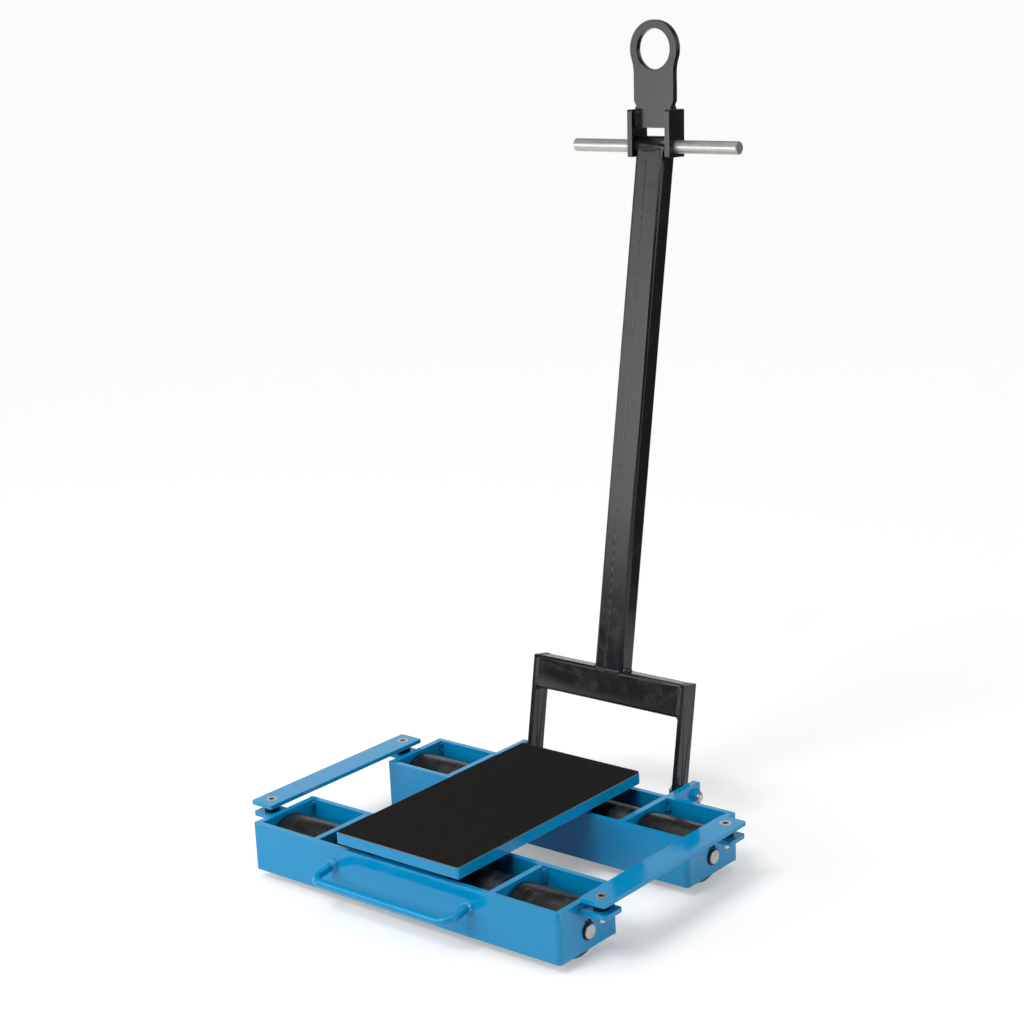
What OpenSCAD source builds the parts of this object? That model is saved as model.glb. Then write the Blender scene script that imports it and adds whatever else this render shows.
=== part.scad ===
// Steerable machine skate: two roller boxes that turn under a load plate, kept parallel by two
// tie bars and pulled by a drawbar with a hinged towing eye. Millimetres, +Z up, +Y towards the
// drawbar. The origin is the centre of the load face, where the machine stands.

/* [Load plate] */
// Width of the load plate across the skate
plate_w = 220; // [180:1:300]
// Length of the load plate along the travel direction
plate_l = 400; // [385:1:460]
// Thickness of the steel load plate
plate_t = 15; // [10:0.5:25]
// Radius of the load plate's corners
plate_corner_r = 3.5; // [2:0.5:12]
// Thickness of the ribbed rubber pad
pad_t = 3; // [2:0.5:6]
// Bare steel margin beside the pad on the long edges
pad_inset = 1; // [1:0.5:8]

/* [Roller boxes] */
// Width of a roller box along the travel direction
box_w = 118; // [110:1:136]
// Height of the box walls
box_h = 70; // [62:0.5:84]
// Thickness of the two long side walls
side_wall_t = 8; // [5:0.5:10]
// Thickness of the end plates, dividers and drawbar lugs
cross_plate_t = 10; // [6:0.5:12]
// Distance between the two steering pivots
pivot_pitch = 280; // [250:1:330]
// Radius of the ground upright corners of the box
box_corner_r = 2.5; // [1:0.5:8]
// Radius of the upright corner that is dressed rounder
box_dressed_r = 7; // [1:0.5:8]

/* [Rollers and axles] */
// Diameter of a roller
roller_d = 80; // [70:0.5:90]
// Width of a roller
roller_w = 98; // [85:0.5:100]
// Chamfer on the roller's rims
roller_chamfer = 2.5; // [1:0.5:6]
// Diameter of an axle
axle_d = 20; // [16:0.5:25]
// Height of the axles above the lower edge of the box
axle_h = 26; // [22:0.5:32]
// How far an axle stands out past its retaining ring
axle_stub = 3; // [1.5:0.5:6]
// Thickness of the retaining rings on the axles
ring_t = 1.5; // [1:0.1:2.5]
// Thickness of the washers beside the rollers
washer_t = 1.5; // [1:0.1:3]
// Outer diameter of the washers beside the rollers
washer_d = 28; // [26:0.5:38]
// Outer diameter of a roller's ball bearing
bearing_d = 47; // [40:1:56]
// Width of a roller's ball bearing
bearing_w = 14; // [8:0.5:18]

/* [Steering pivots] */
// Diameter of a steering pivot pin
pivot_d = 30; // [22:0.5:34]
// Wall of the bronze bush round the pin
bush_wall = 3; // [2:0.5:4]
// Wall of the hub tube round the bush
hub_wall = 6; // [4:0.5:8]
// Height of the hub's lower end above the lower edge of the box
hub_lift = 18; // [10:0.5:26]
// Thickness of the hub's top plate
hub_plate_t = 12; // [8:0.5:18]
// Thickness of the thrust washer, which sets the gap between box and load plate
thrust_t = 8; // [6.5:0.5:14]
// Outer diameter of the thrust washer
thrust_d = 70; // [56:1:80]
// Thickness of the retaining ring under the hub
pivot_ring_t = 2; // [1.2:0.1:3]
// Free space between the hub tube and the inner end of an axle
hub_side_gap = 13.5; // [5:0.5:30]

/* [Tie bars] */
// Free space between an end plate and a tie bar
tie_gap = 3; // [1.5:0.5:10]
// Width of a tie bar
tie_w = 40; // [30:0.5:44]
// Thickness of a tie bar
tie_t = 6; // [4:0.5:7]
// Length of a tie bar past each screw
tie_end = 20; // [14:0.5:28]
// Corner radius of a tie bar
tie_corner_r = 2; // [1:0.5:6]
// Width of a tie bar lug along the travel direction
lug_w = 36; // [26:0.5:44]
// Thickness of a tie bar lug
lug_t = 6; // [4:0.5:8]
// Depth of the lug's upper face below the box rim
lug_drop = 7; // [5:0.5:12]
// Outer diameter of the spacer under a tie bar
spacer_d = 22; // [16:0.5:26]
// Height of the spacer between lug and tie bar
spacer_h = 11.5; // [9.5:0.5:14]
// Thread diameter of a tie bar screw
screw_d = 8; // [7:0.5:12]
// Head diameter of a tie bar's countersunk screw
screw_head_d = 17.5; // [16:0.5:24]
// Depth of the countersunk head
screw_head_h = 4.5; // [3:0.1:5]
// Width across flats of the screw's hexagon socket
screw_socket = 6; // [4:0.5:8]
// Depth of the screw's hexagon socket
screw_socket_h = 3; // [1.5:0.1:4]
// Length of screw that shows under its nut
screw_tail = 6.5; // [2:0.5:9]
// Width across flats of the nut welded under a lug
weld_nut_af = 13; // [13:0.5:22]
// Height of the nut welded under a lug
weld_nut_h = 6.5; // [5:0.5:10]

/* [Carry handle] */
// Diameter of the carry handle's round bar
carry_d = 12; // [8:0.5:16]
// Distance between the carry handle's two arms
carry_span = 244; // [160:1:280]
// How far the grip's centre line stands out from the wall
carry_reach = 42; // [36:0.5:70]
// How far the grip hangs below the arms' roots
carry_droop = 7; // [2:0.5:14]
// Bend radius of the handle's centre line
carry_bend_r = 18; // [12:0.5:28]
// Depth of the arms' roots below the rim of the box
carry_drop = 28; // [16:0.5:40]

/* [Drawbar] */
// Distance of the drawbar's hinge from the box wall
hinge_reach = 60; // [54:0.5:80]
// Depth of the drawbar's hinge below the rim of the box
hinge_drop = 21; // [20:0.5:36]
// Length of a drawbar lug past the hinge
draw_lug_end = 13; // [11:0.5:26]
// Height of a drawbar lug
draw_lug_h = 38; // [32:0.5:40]
// Length of the spacer between a drawbar lug and the yoke's leg
hinge_spacer_l = 14; // [1:0.5:30]
// Thickness of the yoke's legs
leg_t = 8; // [6:0.5:12]
// Distance from the hinge to the top of the yoke
yoke_top = 160; // [140:1:220]
// Width of the rectangular tube of the yoke and post
tube_w = 50; // [40:0.5:54]
// Depth of the rectangular tube of the yoke and post
tube_depth = 30; // [26:0.5:40]
// Wall of the rectangular tube
tube_wall = 3; // [2:0.1:4]
// Outer corner radius of the rectangular tube
tube_corner_r = 5; // [4.5:0.1:7]
// Distance from the drawbar's hinge to the handle bar
drawbar_l = 927; // [600:1:1200]
// Forward lean of the drawbar from upright, in degrees
drawbar_lean = 11; // [0:0.5:30]
// Diameter of the hinge bolts
hinge_bolt_d = 12; // [10:0.5:14]
// Width across flats of the hinge bolts' heads and nuts
hinge_bolt_af = 18; // [17:0.5:22]
// Height of the hinge bolts' heads
hinge_head_h = 7.5; // [5:0.5:10]
// Height of the nuts welded to the drawbar lugs
hinge_nut_h = 6; // [5:0.5:14]
// Length of hinge bolt that shows past its nut
hinge_tail = 5; // [2:0.5:10]
// Outer diameter of the spacers between lug and leg
hinge_spacer_d = 20; // [17:0.5:28]

/* [Handle bar and towing head] */
// Diameter of the handle bar
handle_bar_d = 19; // [16:0.5:22]
// Length of the handle bar
handle_bar_l = 290; // [200:1:400]
// Outer diameter of the sleeve that holds the handle bar
sleeve_d = 30; // [26:0.5:30]
// Free space between the sleeve and a cheek
cheek_side_gap = 4; // [0.5:0.5:8]
// Thickness of a cheek
cheek_t = 8; // [6:0.5:10]
// Depth of a cheek
cheek_depth = 38; // [32:0.5:50]
// Overlap of a cheek and the eye plate's tongue
cheek_lap = 26.5; // [18:0.5:40]
// Depth of a cheek below the handle bar
cheek_down = 15; // [13:0.5:24]
// Radius of a cheek's corners
cheek_corner_r = 2.5; // [1:0.5:6]
// Height of the eye's centre above the handle bar
eye_h = 138; // [130:0.5:180]
// Diameter of the towing eye's hole
eye_hole_d = 58; // [40:0.5:62]
// Outer diameter of the towing eye
eye_d = 82; // [76:0.5:100]
// Thickness of the towing eye
eye_t = 10; // [8:0.5:16]
// Step from the tongue out to the neck, on each side
neck_step = 6; // [2:0.5:8]
// Radius of the hollow that joins eye and neck
neck_blend_r = 60; // [30:1:90]
// Free space between the sleeve and the tongue's lower end
tongue_gap = 11.5; // [2:0.5:20]
// Forward tilt of the towing head from upright, in degrees
head_tilt = 2; // [-10:0.5:30]

/* [Hidden] */
$fn = 64;

// Clearances
run_gap = 0.05;      // radial, between a shaft and the piece that turns on it
bolt_gap = 0.25;     // radial, round a bolt or screw that only clamps
open_gap = 0.4;      // radial, round the screws where the closed linkage is opened
sink_gap = 0.35;     // between a tie bar's countersink and the screw head in it
bore_gap = 2;        // radial, between an axle and the middle of a roller
cut = 1;             // how far a cutting shape runs past the face that it opens

// Colours
paint_blue = [0.16, 0.50, 0.74];
paint_black = [0.09, 0.09, 0.10];
rubber_black = [0.12, 0.11, 0.10];
nylon_black = [0.14, 0.14, 0.15];
zinc = [0.78, 0.78, 0.76];
steel = [0.62, 0.62, 0.63];
ring_black = [0.05, 0.05, 0.06];
bronze = [0.66, 0.48, 0.22];

// Heights, from the load face downwards
plate_top_z = -pad_t;
plate_low_z = plate_top_z - plate_t;
rim_z = plate_low_z - thrust_t;
box_low_z = rim_z - box_h;
axle_z = box_low_z + axle_h;
hub_low_z = box_low_z + hub_lift;
lug_top_z = rim_z - lug_drop;
lug_low_z = lug_top_z - lug_t;
tie_low_z = lug_top_z + spacer_h;
tie_top_z = tie_low_z + tie_t;
hinge_z = rim_z - hinge_drop;
carry_z = rim_z - carry_drop;

// Steering pivot
bush_d = pivot_d + 2 * bush_wall;
hub_d = bush_d + 2 * hub_wall;

// Stations across a box, from its middle outwards
bay_l = roller_w + 2 * washer_t;
axle_in_x = hub_d / 2 + hub_side_gap;
hub_half_l = axle_in_x + axle_stub + ring_t;
hub_divider_x = hub_half_l + cross_plate_t / 2;
inner_bay_x = hub_half_l + cross_plate_t;
inner_roller_x = inner_bay_x + bay_l / 2;
divider_x = inner_bay_x + bay_l + cross_plate_t / 2;
outer_bay_x = divider_x + cross_plate_t / 2;
outer_roller_x = outer_bay_x + bay_l / 2;
end_in_x = outer_bay_x + bay_l;
box_l = 2 * (end_in_x + cross_plate_t);
axle_out_x = box_l / 2 + ring_t + axle_stub;
box_in_w = box_w - 2 * side_wall_t;
tie_x = box_l / 2 + tie_gap + tie_w / 2;

// Retaining rings
groove_depth = 0.6;
pivot_ring_rim = 4.5;
pivot_tail = 4;
pivot_low_z = hub_low_z - pivot_ring_t - pivot_tail;

// Drawbar
hinge_y = pivot_pitch / 2 + box_w / 2 + hinge_reach;
draw_lug_in_x = divider_x - cross_plate_t / 2;
draw_lug_out_x = divider_x + cross_plate_t / 2;
leg_out_x = draw_lug_in_x - hinge_spacer_l;
leg_in_x = leg_out_x - leg_t;
leg_end_r = tube_depth / 2;
post_gap = 5;        // from the handle bar's axis down to the post's coped end

// Towing head
cheek_gap = tube_w + 2 * cheek_side_gap;
tongue_h = sleeve_d / 2 + tongue_gap;
cheek_up = tongue_h + cheek_lap;
neck_w = cheek_gap + 2 * neck_step;
eye_waist_y = sqrt(pow(eye_d / 2 + neck_blend_r, 2) - pow(neck_w / 2 + neck_blend_r, 2));
tongue_shoulder_h = 12;

// Shared shapes

// A flat plate with rounded corners, centred in X and Y, standing on z = 0
module rounded_plate(w, l, t, r) {
    linear_extrude(t) rounded_outline(w, l, r);
}

module rounded_outline(w, l, r) {
    square([w - 2 * r, l], center = true);
    square([w, l - 2 * r], center = true);
    for (sx = [-1, 1], sy = [-1, 1])
        translate([sx * (w / 2 - r), sy * (l / 2 - r)]) circle(r);
}

// A shape drawn along +Z from 0, laid along X between two stations
module along_x(x) {
    translate([x, 0, 0]) rotate([0, 90, 0]) children();
}

module ring(h, d_out, d_in) {
    difference() {
        cylinder(h = h, d = d_out);
        translate([0, 0, -cut]) cylinder(h = h + 2 * cut, d = d_in);
    }
}

// A round bar with chamfered ends, along +Z
module chamfered_bar(l, d, c) {
    cylinder(h = c, d1 = d - 2 * c, d2 = d);
    translate([0, 0, c]) cylinder(h = l - 2 * c, d = d);
    translate([0, 0, l - c]) cylinder(h = c, d1 = d, d2 = d - 2 * c);
}

// An open retaining ring with two eyed ears, lying on z = 0 with its ears towards +X
module retaining_ring(shaft_d, t, rim) {
    inner_r = shaft_d / 2 - groove_depth;
    outer_r = shaft_d / 2 + rim / 2;
    ear_r = rim * 0.5;
    ear_x = shaft_d / 2 + ear_r;
    ear_y = ear_r + 0.7;
    hole_r = ear_r * 0.4;
    mouth = 2 * (ear_y - ear_r);
    linear_extrude(t) difference() {
        union() {
            circle(outer_r);
            for (s = [-1, 1]) translate([ear_x, s * ear_y]) circle(ear_r);
        }
        circle(inner_r);
        translate([0, -mouth / 2]) square([ear_x + ear_r + cut, mouth]);
        for (s = [-1, 1]) translate([ear_x, s * ear_y]) circle(hole_r);
    }
}

// Rectangular tube along +Z, centred in X and Y
module rect_tube(w, d, l) {
    linear_extrude(l) difference() {
        rounded_outline(w, d, tube_corner_r);
        rounded_outline(w - 2 * tube_wall, d - 2 * tube_wall, tube_corner_r - tube_wall);
    }
}

// Places a box's pieces at its steering pivot: -1 is the rear box, 1 the front one
module at_box(side) {
    translate([0, side * pivot_pitch / 2, 0]) children();
}

// Load plate and its pivots

module load_plate() {
    color(paint_blue) difference() {
        translate([0, 0, plate_low_z])
            rounded_plate(plate_w, plate_l, plate_t, plate_corner_r);
        for (side = [-1, 1]) at_box(side)
            translate([0, 0, plate_low_z - cut]) cylinder(h = plate_t + 2 * cut, d = pivot_d);
    }
}

module rubber_pad() {
    color(rubber_black) translate([0, 0, plate_top_z])
        rounded_plate(plate_w - 2 * pad_inset, plate_l, pad_t, plate_corner_r);
}

module pivot_pins() {
    color(steel) for (side = [-1, 1]) at_box(side) difference() {
        translate([0, 0, pivot_low_z]) cylinder(h = plate_top_z - pivot_low_z, d = pivot_d);
        translate([0, 0, hub_low_z - pivot_ring_t])
            ring(pivot_ring_t, pivot_d + 2 * cut, pivot_d - 2 * groove_depth);
    }
}

module pivot_rings() {
    color(ring_black) for (side = [-1, 1]) at_box(side)
        translate([0, 0, hub_low_z - pivot_ring_t])
            retaining_ring(pivot_d, pivot_ring_t, pivot_ring_rim);
}

// Roller box weldment

// The side walls run the box's full length, and their outer upright edges are ground. The rear
// right one is dressed rounder.
module side_walls() {
    r = min(box_corner_r, side_wall_t - 1);
    dressed_r = min(box_dressed_r, side_wall_t - 1);
    color(paint_blue) for (s = [-1, 1])
        translate([0, 0, box_low_z]) linear_extrude(box_h) difference() {
            intersection() {
                rounded_outline(box_l, box_w, r);
                translate([0, s * (box_w - side_wall_t) / 2])
                    square([box_l, side_wall_t], center = true);
            }
            translate([box_l / 2 - dressed_r, dressed_r - box_w / 2]) difference() {
                translate([0, -dressed_r - cut]) square(dressed_r + cut);
                circle(dressed_r);
            }
        }
}

// A plate across the box between its side walls, with the hole for the axles
module cross_plate(x) {
    translate([x, 0, 0]) difference() {
        translate([0, 0, rim_z - box_h / 2])
            cube([cross_plate_t, box_in_w, box_h], center = true);
        translate([0, 0, axle_z]) along_x(-cross_plate_t / 2 - cut)
            cylinder(h = cross_plate_t + 2 * cut, d = axle_d);
    }
}

module end_plates() {
    color(paint_blue) for (s = [-1, 1]) cross_plate(s * (box_l - cross_plate_t) / 2);
}

module dividers() {
    color(paint_blue) for (x = [divider_x, hub_divider_x], s = [-1, 1]) cross_plate(s * x);
}

// Top plate and hub tube between the two middle dividers
module pivot_hub() {
    color(paint_blue) difference() {
        union() {
            translate([0, 0, rim_z - hub_plate_t / 2])
                cube([2 * hub_half_l, box_in_w, hub_plate_t], center = true);
            translate([0, 0, hub_low_z]) cylinder(h = rim_z - hub_low_z, d = hub_d);
        }
        translate([0, 0, hub_low_z - cut])
            cylinder(h = rim_z - hub_low_z + 2 * cut, d = bush_d);
    }
}

module pivot_bush() {
    color(bronze) translate([0, 0, hub_low_z])
        ring(rim_z - hub_low_z, bush_d, pivot_d + 2 * run_gap);
}

module thrust_washer() {
    color(bronze) translate([0, 0, rim_z]) ring(thrust_t, thrust_d, pivot_d + 2 * run_gap);
}

module tie_lugs() {
    lug_l = tie_x + tie_w / 2 - box_l / 2;
    corner_r = tie_corner_r * 2;
    color(paint_blue) for (s = [-1, 1]) difference() {
        translate([0, 0, lug_low_z]) linear_extrude(lug_t) {
            translate([s * (box_l / 2 + (lug_l - corner_r) / 2), 0])
                square([lug_l - corner_r, lug_w], center = true);
            translate([s * (box_l / 2 + lug_l / 2), 0])
                square([lug_l, lug_w - 2 * corner_r], center = true);
            for (sy = [-1, 1])
                translate([s * (box_l / 2 + lug_l - corner_r), sy * (lug_w / 2 - corner_r)])
                    circle(corner_r);
        }
        translate([s * tie_x, 0, lug_low_z - cut])
            cylinder(h = lug_t + 2 * cut, d = screw_d);
    }
}

module weld_nuts() {
    color(paint_blue) for (s = [-1, 1]) translate([s * tie_x, 0, lug_low_z - weld_nut_h])
        difference() {
            cylinder(h = weld_nut_h, d = weld_nut_af / cos(30), $fn = 6);
            translate([0, 0, -cut]) cylinder(h = weld_nut_h + 2 * cut, d = screw_d);
        }
}

module tie_spacers() {
    color(ring_black) for (s = [-1, 1]) translate([s * tie_x, 0, lug_top_z])
        ring(spacer_h, spacer_d, screw_d);
}

module tie_screws() {
    tail_z = lug_low_z - weld_nut_h - screw_tail;
    tip = 1;
    color(zinc) for (s = [-1, 1]) translate([s * tie_x, 0, 0]) difference() {
        union() {
            translate([0, 0, tail_z]) cylinder(h = tip, d1 = screw_d - 2 * tip, d2 = screw_d);
            translate([0, 0, tail_z + tip]) cylinder(h = tie_top_z - tail_z - tip, d = screw_d);
            translate([0, 0, tie_top_z - screw_head_h])
                cylinder(h = screw_head_h, d1 = screw_d, d2 = screw_head_d);
        }
        translate([0, 0, tie_top_z - screw_socket_h])
            cylinder(h = screw_socket_h + cut, d = screw_socket / cos(30), $fn = 6);
    }
}

// Axles and rollers

module axles() {
    color(zinc) for (s = [-1, 1]) translate([0, 0, axle_z]) difference() {
        along_x(s > 0 ? axle_in_x : -axle_out_x)
            chamfered_bar(axle_out_x - axle_in_x, axle_d, 0.8);
        for (x = [hub_half_l - ring_t, box_l / 2])
            along_x(s > 0 ? x : -x - ring_t)
                ring(ring_t, axle_d + 2 * cut, axle_d - 2 * groove_depth);
    }
}

module axle_rings() {
    rim = 5;
    color(ring_black) for (s = [-1, 1], x = [hub_half_l - ring_t, box_l / 2])
        translate([0, 0, axle_z]) along_x(s > 0 ? x : -x - ring_t)
            rotate([0, 0, 180]) retaining_ring(axle_d, ring_t, rim);
}

module roller_washers() {
    color(steel) for (s = [-1, 1], x = [outer_roller_x, inner_roller_x], e = [-1, 1])
        translate([0, 0, axle_z])
            along_x(s * x + e * (roller_w + washer_t) / 2 - washer_t / 2)
                ring(washer_t, washer_d, axle_d);
}

// A roller on its own axis along X: a turned nylon body with a bearing seat in each end
module roller(x) {
    half = roller_w / 2;
    color(nylon_black) translate([x, 0, axle_z]) rotate([0, 90, 0]) rotate_extrude()
        polygon([
            [axle_d / 2 + bore_gap, -half + bearing_w],
            [bearing_d / 2, -half + bearing_w],
            [bearing_d / 2, -half],
            [roller_d / 2 - roller_chamfer, -half],
            [roller_d / 2, -half + roller_chamfer],
            [roller_d / 2, half - roller_chamfer],
            [roller_d / 2 - roller_chamfer, half],
            [bearing_d / 2, half],
            [bearing_d / 2, half - bearing_w],
            [axle_d / 2 + bore_gap, half - bearing_w]
        ]);
}

// A roller's two sealed ball bearings, with a shallow groove between their rings
module bearings(x) {
    groove_out = bearing_d - 8;
    groove_in = axle_d + 8;
    groove_h = 0.5;
    color(steel) for (e = [-1, 1])
        translate([x + e * (roller_w - bearing_w) / 2, 0, axle_z])
            along_x(-bearing_w / 2) difference() {
                ring(bearing_w, bearing_d, axle_d + 2 * run_gap);
                for (z = [-cut, bearing_w - groove_h])
                    translate([0, 0, z]) ring(groove_h + cut, groove_out, groove_in);
            }
}

// Carry handle on the rear box

module carry_handle() {
    root_y = -(pivot_pitch + box_w) / 2;
    arm_tilt = atan(carry_droop / carry_reach);
    arm_l = carry_reach / cos(arm_tilt);
    straight = carry_span / 2 - carry_bend_r;
    color(paint_blue) difference() {
        translate([0, root_y, carry_z]) rotate([arm_tilt, 0, 0]) {
            translate([-straight, -arm_l, 0]) rotate([0, 90, 0])
                cylinder(h = 2 * straight, d = carry_d);
            for (s = [-1, 1]) {
                translate([s * straight, carry_bend_r - arm_l, 0])
                    rotate([0, 0, s > 0 ? -90 : 180])
                        rotate_extrude(angle = 90) translate([carry_bend_r, 0])
                            circle(d = carry_d);
                translate([s * carry_span / 2, carry_bend_r - arm_l, 0]) rotate([-90, 0, 0])
                    cylinder(h = arm_l - carry_bend_r + carry_d / 2, d = carry_d);
            }
        }
        translate([0, root_y + box_w / 2, carry_z])
            cube([carry_span + 2 * carry_d, box_w, 4 * carry_d], center = true);
    }
}

// Drawbar hinge on the front box

module drawbar_lugs() {
    root_y = pivot_pitch / 2 + box_w / 2;
    lug_l = hinge_reach + draw_lug_end;
    corner_r = 3;
    color(paint_blue) for (s = [-1, 1]) difference() {
        translate([s * divider_x - cross_plate_t / 2, root_y, hinge_z])
            rotate([90, 0, 90]) linear_extrude(cross_plate_t) {
                translate([0, -draw_lug_h / 2]) square([lug_l - corner_r, draw_lug_h]);
                translate([0, -draw_lug_h / 2 + corner_r])
                    square([lug_l, draw_lug_h - 2 * corner_r]);
                for (sz = [-1, 1])
                    translate([lug_l - corner_r, sz * (draw_lug_h / 2 - corner_r)])
                        circle(corner_r);
            }
        translate([0, hinge_y, hinge_z]) along_x(s * divider_x - cross_plate_t / 2 - cut)
            cylinder(h = cross_plate_t + 2 * cut, d = hinge_bolt_d + 2 * bolt_gap);
    }
}

// Each hinge bolt's head is inside the yoke's leg, and its nut is welded to the outside of the lug
module drawbar_bolts() {
    shank_l = draw_lug_out_x - leg_in_x + hinge_nut_h + hinge_tail;
    tip = 1.2;
    color(zinc) for (s = [-1, 1]) translate([0, hinge_y, hinge_z]) mirror([s > 0 ? 0 : 1, 0, 0]) {
        along_x(leg_in_x - hinge_head_h)
            cylinder(h = hinge_head_h, d = hinge_bolt_af / cos(30), $fn = 6);
        along_x(leg_in_x) cylinder(h = shank_l - tip, d = hinge_bolt_d);
        along_x(leg_in_x + shank_l - tip)
            cylinder(h = tip, d1 = hinge_bolt_d, d2 = hinge_bolt_d - 2 * tip);
    }
}

module drawbar_nuts() {
    color(paint_blue) for (s = [-1, 1]) translate([0, hinge_y, hinge_z])
        mirror([s > 0 ? 0 : 1, 0, 0]) along_x(draw_lug_out_x) difference() {
            cylinder(h = hinge_nut_h, d = hinge_bolt_af / cos(30), $fn = 6);
            translate([0, 0, -cut]) cylinder(h = hinge_nut_h + 2 * cut, d = hinge_bolt_d);
        }
}

module drawbar_spacers() {
    spacer_l = draw_lug_in_x - leg_out_x;
    color(zinc) for (s = [-1, 1]) translate([0, hinge_y, hinge_z]) mirror([s > 0 ? 0 : 1, 0, 0])
        along_x(leg_out_x) ring(spacer_l, hinge_spacer_d, hinge_bolt_d);
}

// Tie bars

module tie_bar(side) {
    length = pivot_pitch + 2 * tie_end;
    color(paint_blue) difference() {
        translate([side * tie_x, 0, tie_low_z])
            rounded_plate(tie_w, length, tie_t, tie_corner_r);
        tie_hole(side, 1, run_gap);
        tie_hole(side, -1, open_gap);
    }
}

// A countersunk hole round the screw of one box
module tie_hole(side, box, gap) {
    sink_d = screw_head_d + 2 * sink_gap;
    translate([side * tie_x, box * pivot_pitch / 2, 0]) {
        translate([0, 0, tie_low_z - cut])
            cylinder(h = tie_t + 2 * cut, d = screw_d + 2 * gap);
        translate([0, 0, tie_top_z - screw_head_h])
            cylinder(h = screw_head_h, d1 = screw_d + 2 * sink_gap, d2 = sink_d);
    }
}

// Drawbar: x across, y in depth and z along the bar from its hinge

module at_drawbar() {
    translate([0, hinge_y, hinge_z]) rotate([-drawbar_lean, 0, 0]) children();
}

module yoke_beam() {
    color(paint_black) at_drawbar()
        translate([-leg_in_x, 0, yoke_top - tube_w / 2]) rotate([0, 90, 0])
            rect_tube(tube_w, tube_depth, 2 * leg_in_x);
}

module yoke_legs() {
    color(paint_black) at_drawbar() for (s = [-1, 1]) difference() {
        translate([s * (leg_out_x - leg_t / 2) - leg_t / 2, 0, 0]) rotate([90, 0, 90])
            linear_extrude(leg_t) {
                circle(leg_end_r);
                translate([-tube_depth / 2, 0]) square([tube_depth, yoke_top]);
            }
        along_x(s * (leg_out_x - leg_t / 2) - leg_t / 2 - cut)
            cylinder(h = leg_t + 2 * cut, d = hinge_bolt_d + 2 * run_gap);
    }
}

// The post's upper end is coped to cradle the sleeve
module drawbar_post() {
    color(paint_black) at_drawbar() difference() {
        translate([0, 0, yoke_top])
            rect_tube(tube_w, tube_depth, drawbar_l - post_gap - yoke_top);
        translate([0, 0, drawbar_l]) along_x(-tube_w / 2 - cut)
            cylinder(h = tube_w + 2 * cut, d = sleeve_d);
    }
}

module handle_sleeve() {
    color(paint_black) at_drawbar() translate([0, 0, drawbar_l]) along_x(-tube_w / 2)
        ring(tube_w, sleeve_d, handle_bar_d);
}

module handle_bar() {
    color(zinc) at_drawbar() translate([0, 0, drawbar_l]) along_x(-handle_bar_l / 2)
        chamfered_bar(handle_bar_l, handle_bar_d, 1.2);
}

// Towing head: hangs on the handle bar, z up its own plate

module at_head() {
    at_drawbar() translate([0, 0, drawbar_l]) rotate([drawbar_lean - head_tilt, 0, 0])
        children();
}

module head_cheeks() {
    color(paint_black) at_head() for (s = [-1, 1])
        translate([s * (cheek_gap + cheek_t) / 2 - cheek_t / 2, 0, 0]) rotate([90, 0, 90])
            linear_extrude(cheek_t) difference() {
                translate([0, (cheek_up - cheek_down) / 2])
                    rounded_outline(cheek_depth, cheek_up + cheek_down, cheek_corner_r);
                circle(d = handle_bar_d + 2 * run_gap);
            }
}

// The eye narrows to a neck and then to a tongue that is welded between the cheeks
module towing_eye() {
    color(paint_black) at_head() translate([0, eye_t / 2, 0]) rotate([90, 0, 0])
        linear_extrude(eye_t) difference() {
            union() {
                translate([0, eye_h]) circle(d = eye_d);
                eye_shank();
            }
            translate([0, eye_h]) circle(d = eye_hole_d);
            for (s = [-1, 1])
                translate([s * (neck_w / 2 + neck_blend_r), eye_h - eye_waist_y])
                    circle(neck_blend_r);
        }
}

// The neck's outline, as wide as the ring where the hollow meets it
module eye_shank() {
    blend_share = eye_d / 2 / (eye_d / 2 + neck_blend_r);
    blend_x = (neck_w / 2 + neck_blend_r) * blend_share;
    blend_h = eye_h - eye_waist_y * blend_share;
    shoulder_top = cheek_up + tongue_shoulder_h;
    polygon([
        [-cheek_gap / 2, tongue_h],
        [cheek_gap / 2, tongue_h],
        [cheek_gap / 2, cheek_up],
        [neck_w / 2, shoulder_top],
        [neck_w / 2, eye_h - eye_waist_y],
        [blend_x, blend_h],
        [-blend_x, blend_h],
        [-neck_w / 2, eye_h - eye_waist_y],
        [-neck_w / 2, shoulder_top],
        [-cheek_gap / 2, cheek_up]
    ]);
}

// Rear box, with the carry handle
module rear_side_walls() { at_box(-1) side_walls(); }
module rear_end_plates() { at_box(-1) end_plates(); }
module rear_dividers() { at_box(-1) dividers(); }
module rear_pivot_hub() { at_box(-1) pivot_hub(); }
module rear_pivot_bush() { at_box(-1) pivot_bush(); }
module rear_thrust_washer() { at_box(-1) thrust_washer(); }
module rear_tie_lugs() { at_box(-1) tie_lugs(); }
module rear_weld_nuts() { at_box(-1) weld_nuts(); }
module rear_axles() { at_box(-1) axles(); }
module rear_axle_rings() { at_box(-1) axle_rings(); }
module rear_roller_washers() { at_box(-1) roller_washers(); }
module rear_tie_screws() { at_box(-1) tie_screws(); }
module rear_tie_spacers() { at_box(-1) tie_spacers(); }

// Front box, with the drawbar
module front_side_walls() { at_box(1) side_walls(); }
module front_end_plates() { at_box(1) end_plates(); }
module front_dividers() { at_box(1) dividers(); }
module front_pivot_hub() { at_box(1) pivot_hub(); }
module front_pivot_bush() { at_box(1) pivot_bush(); }
module front_thrust_washer() { at_box(1) thrust_washer(); }
module front_tie_lugs() { at_box(1) tie_lugs(); }
module front_weld_nuts() { at_box(1) weld_nuts(); }
module front_axles() { at_box(1) axles(); }
module front_axle_rings() { at_box(1) axle_rings(); }
module front_roller_washers() { at_box(1) roller_washers(); }
module front_tie_screws() { at_box(1) tie_screws(); }
module front_tie_spacers() { at_box(1) tie_spacers(); }

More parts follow.
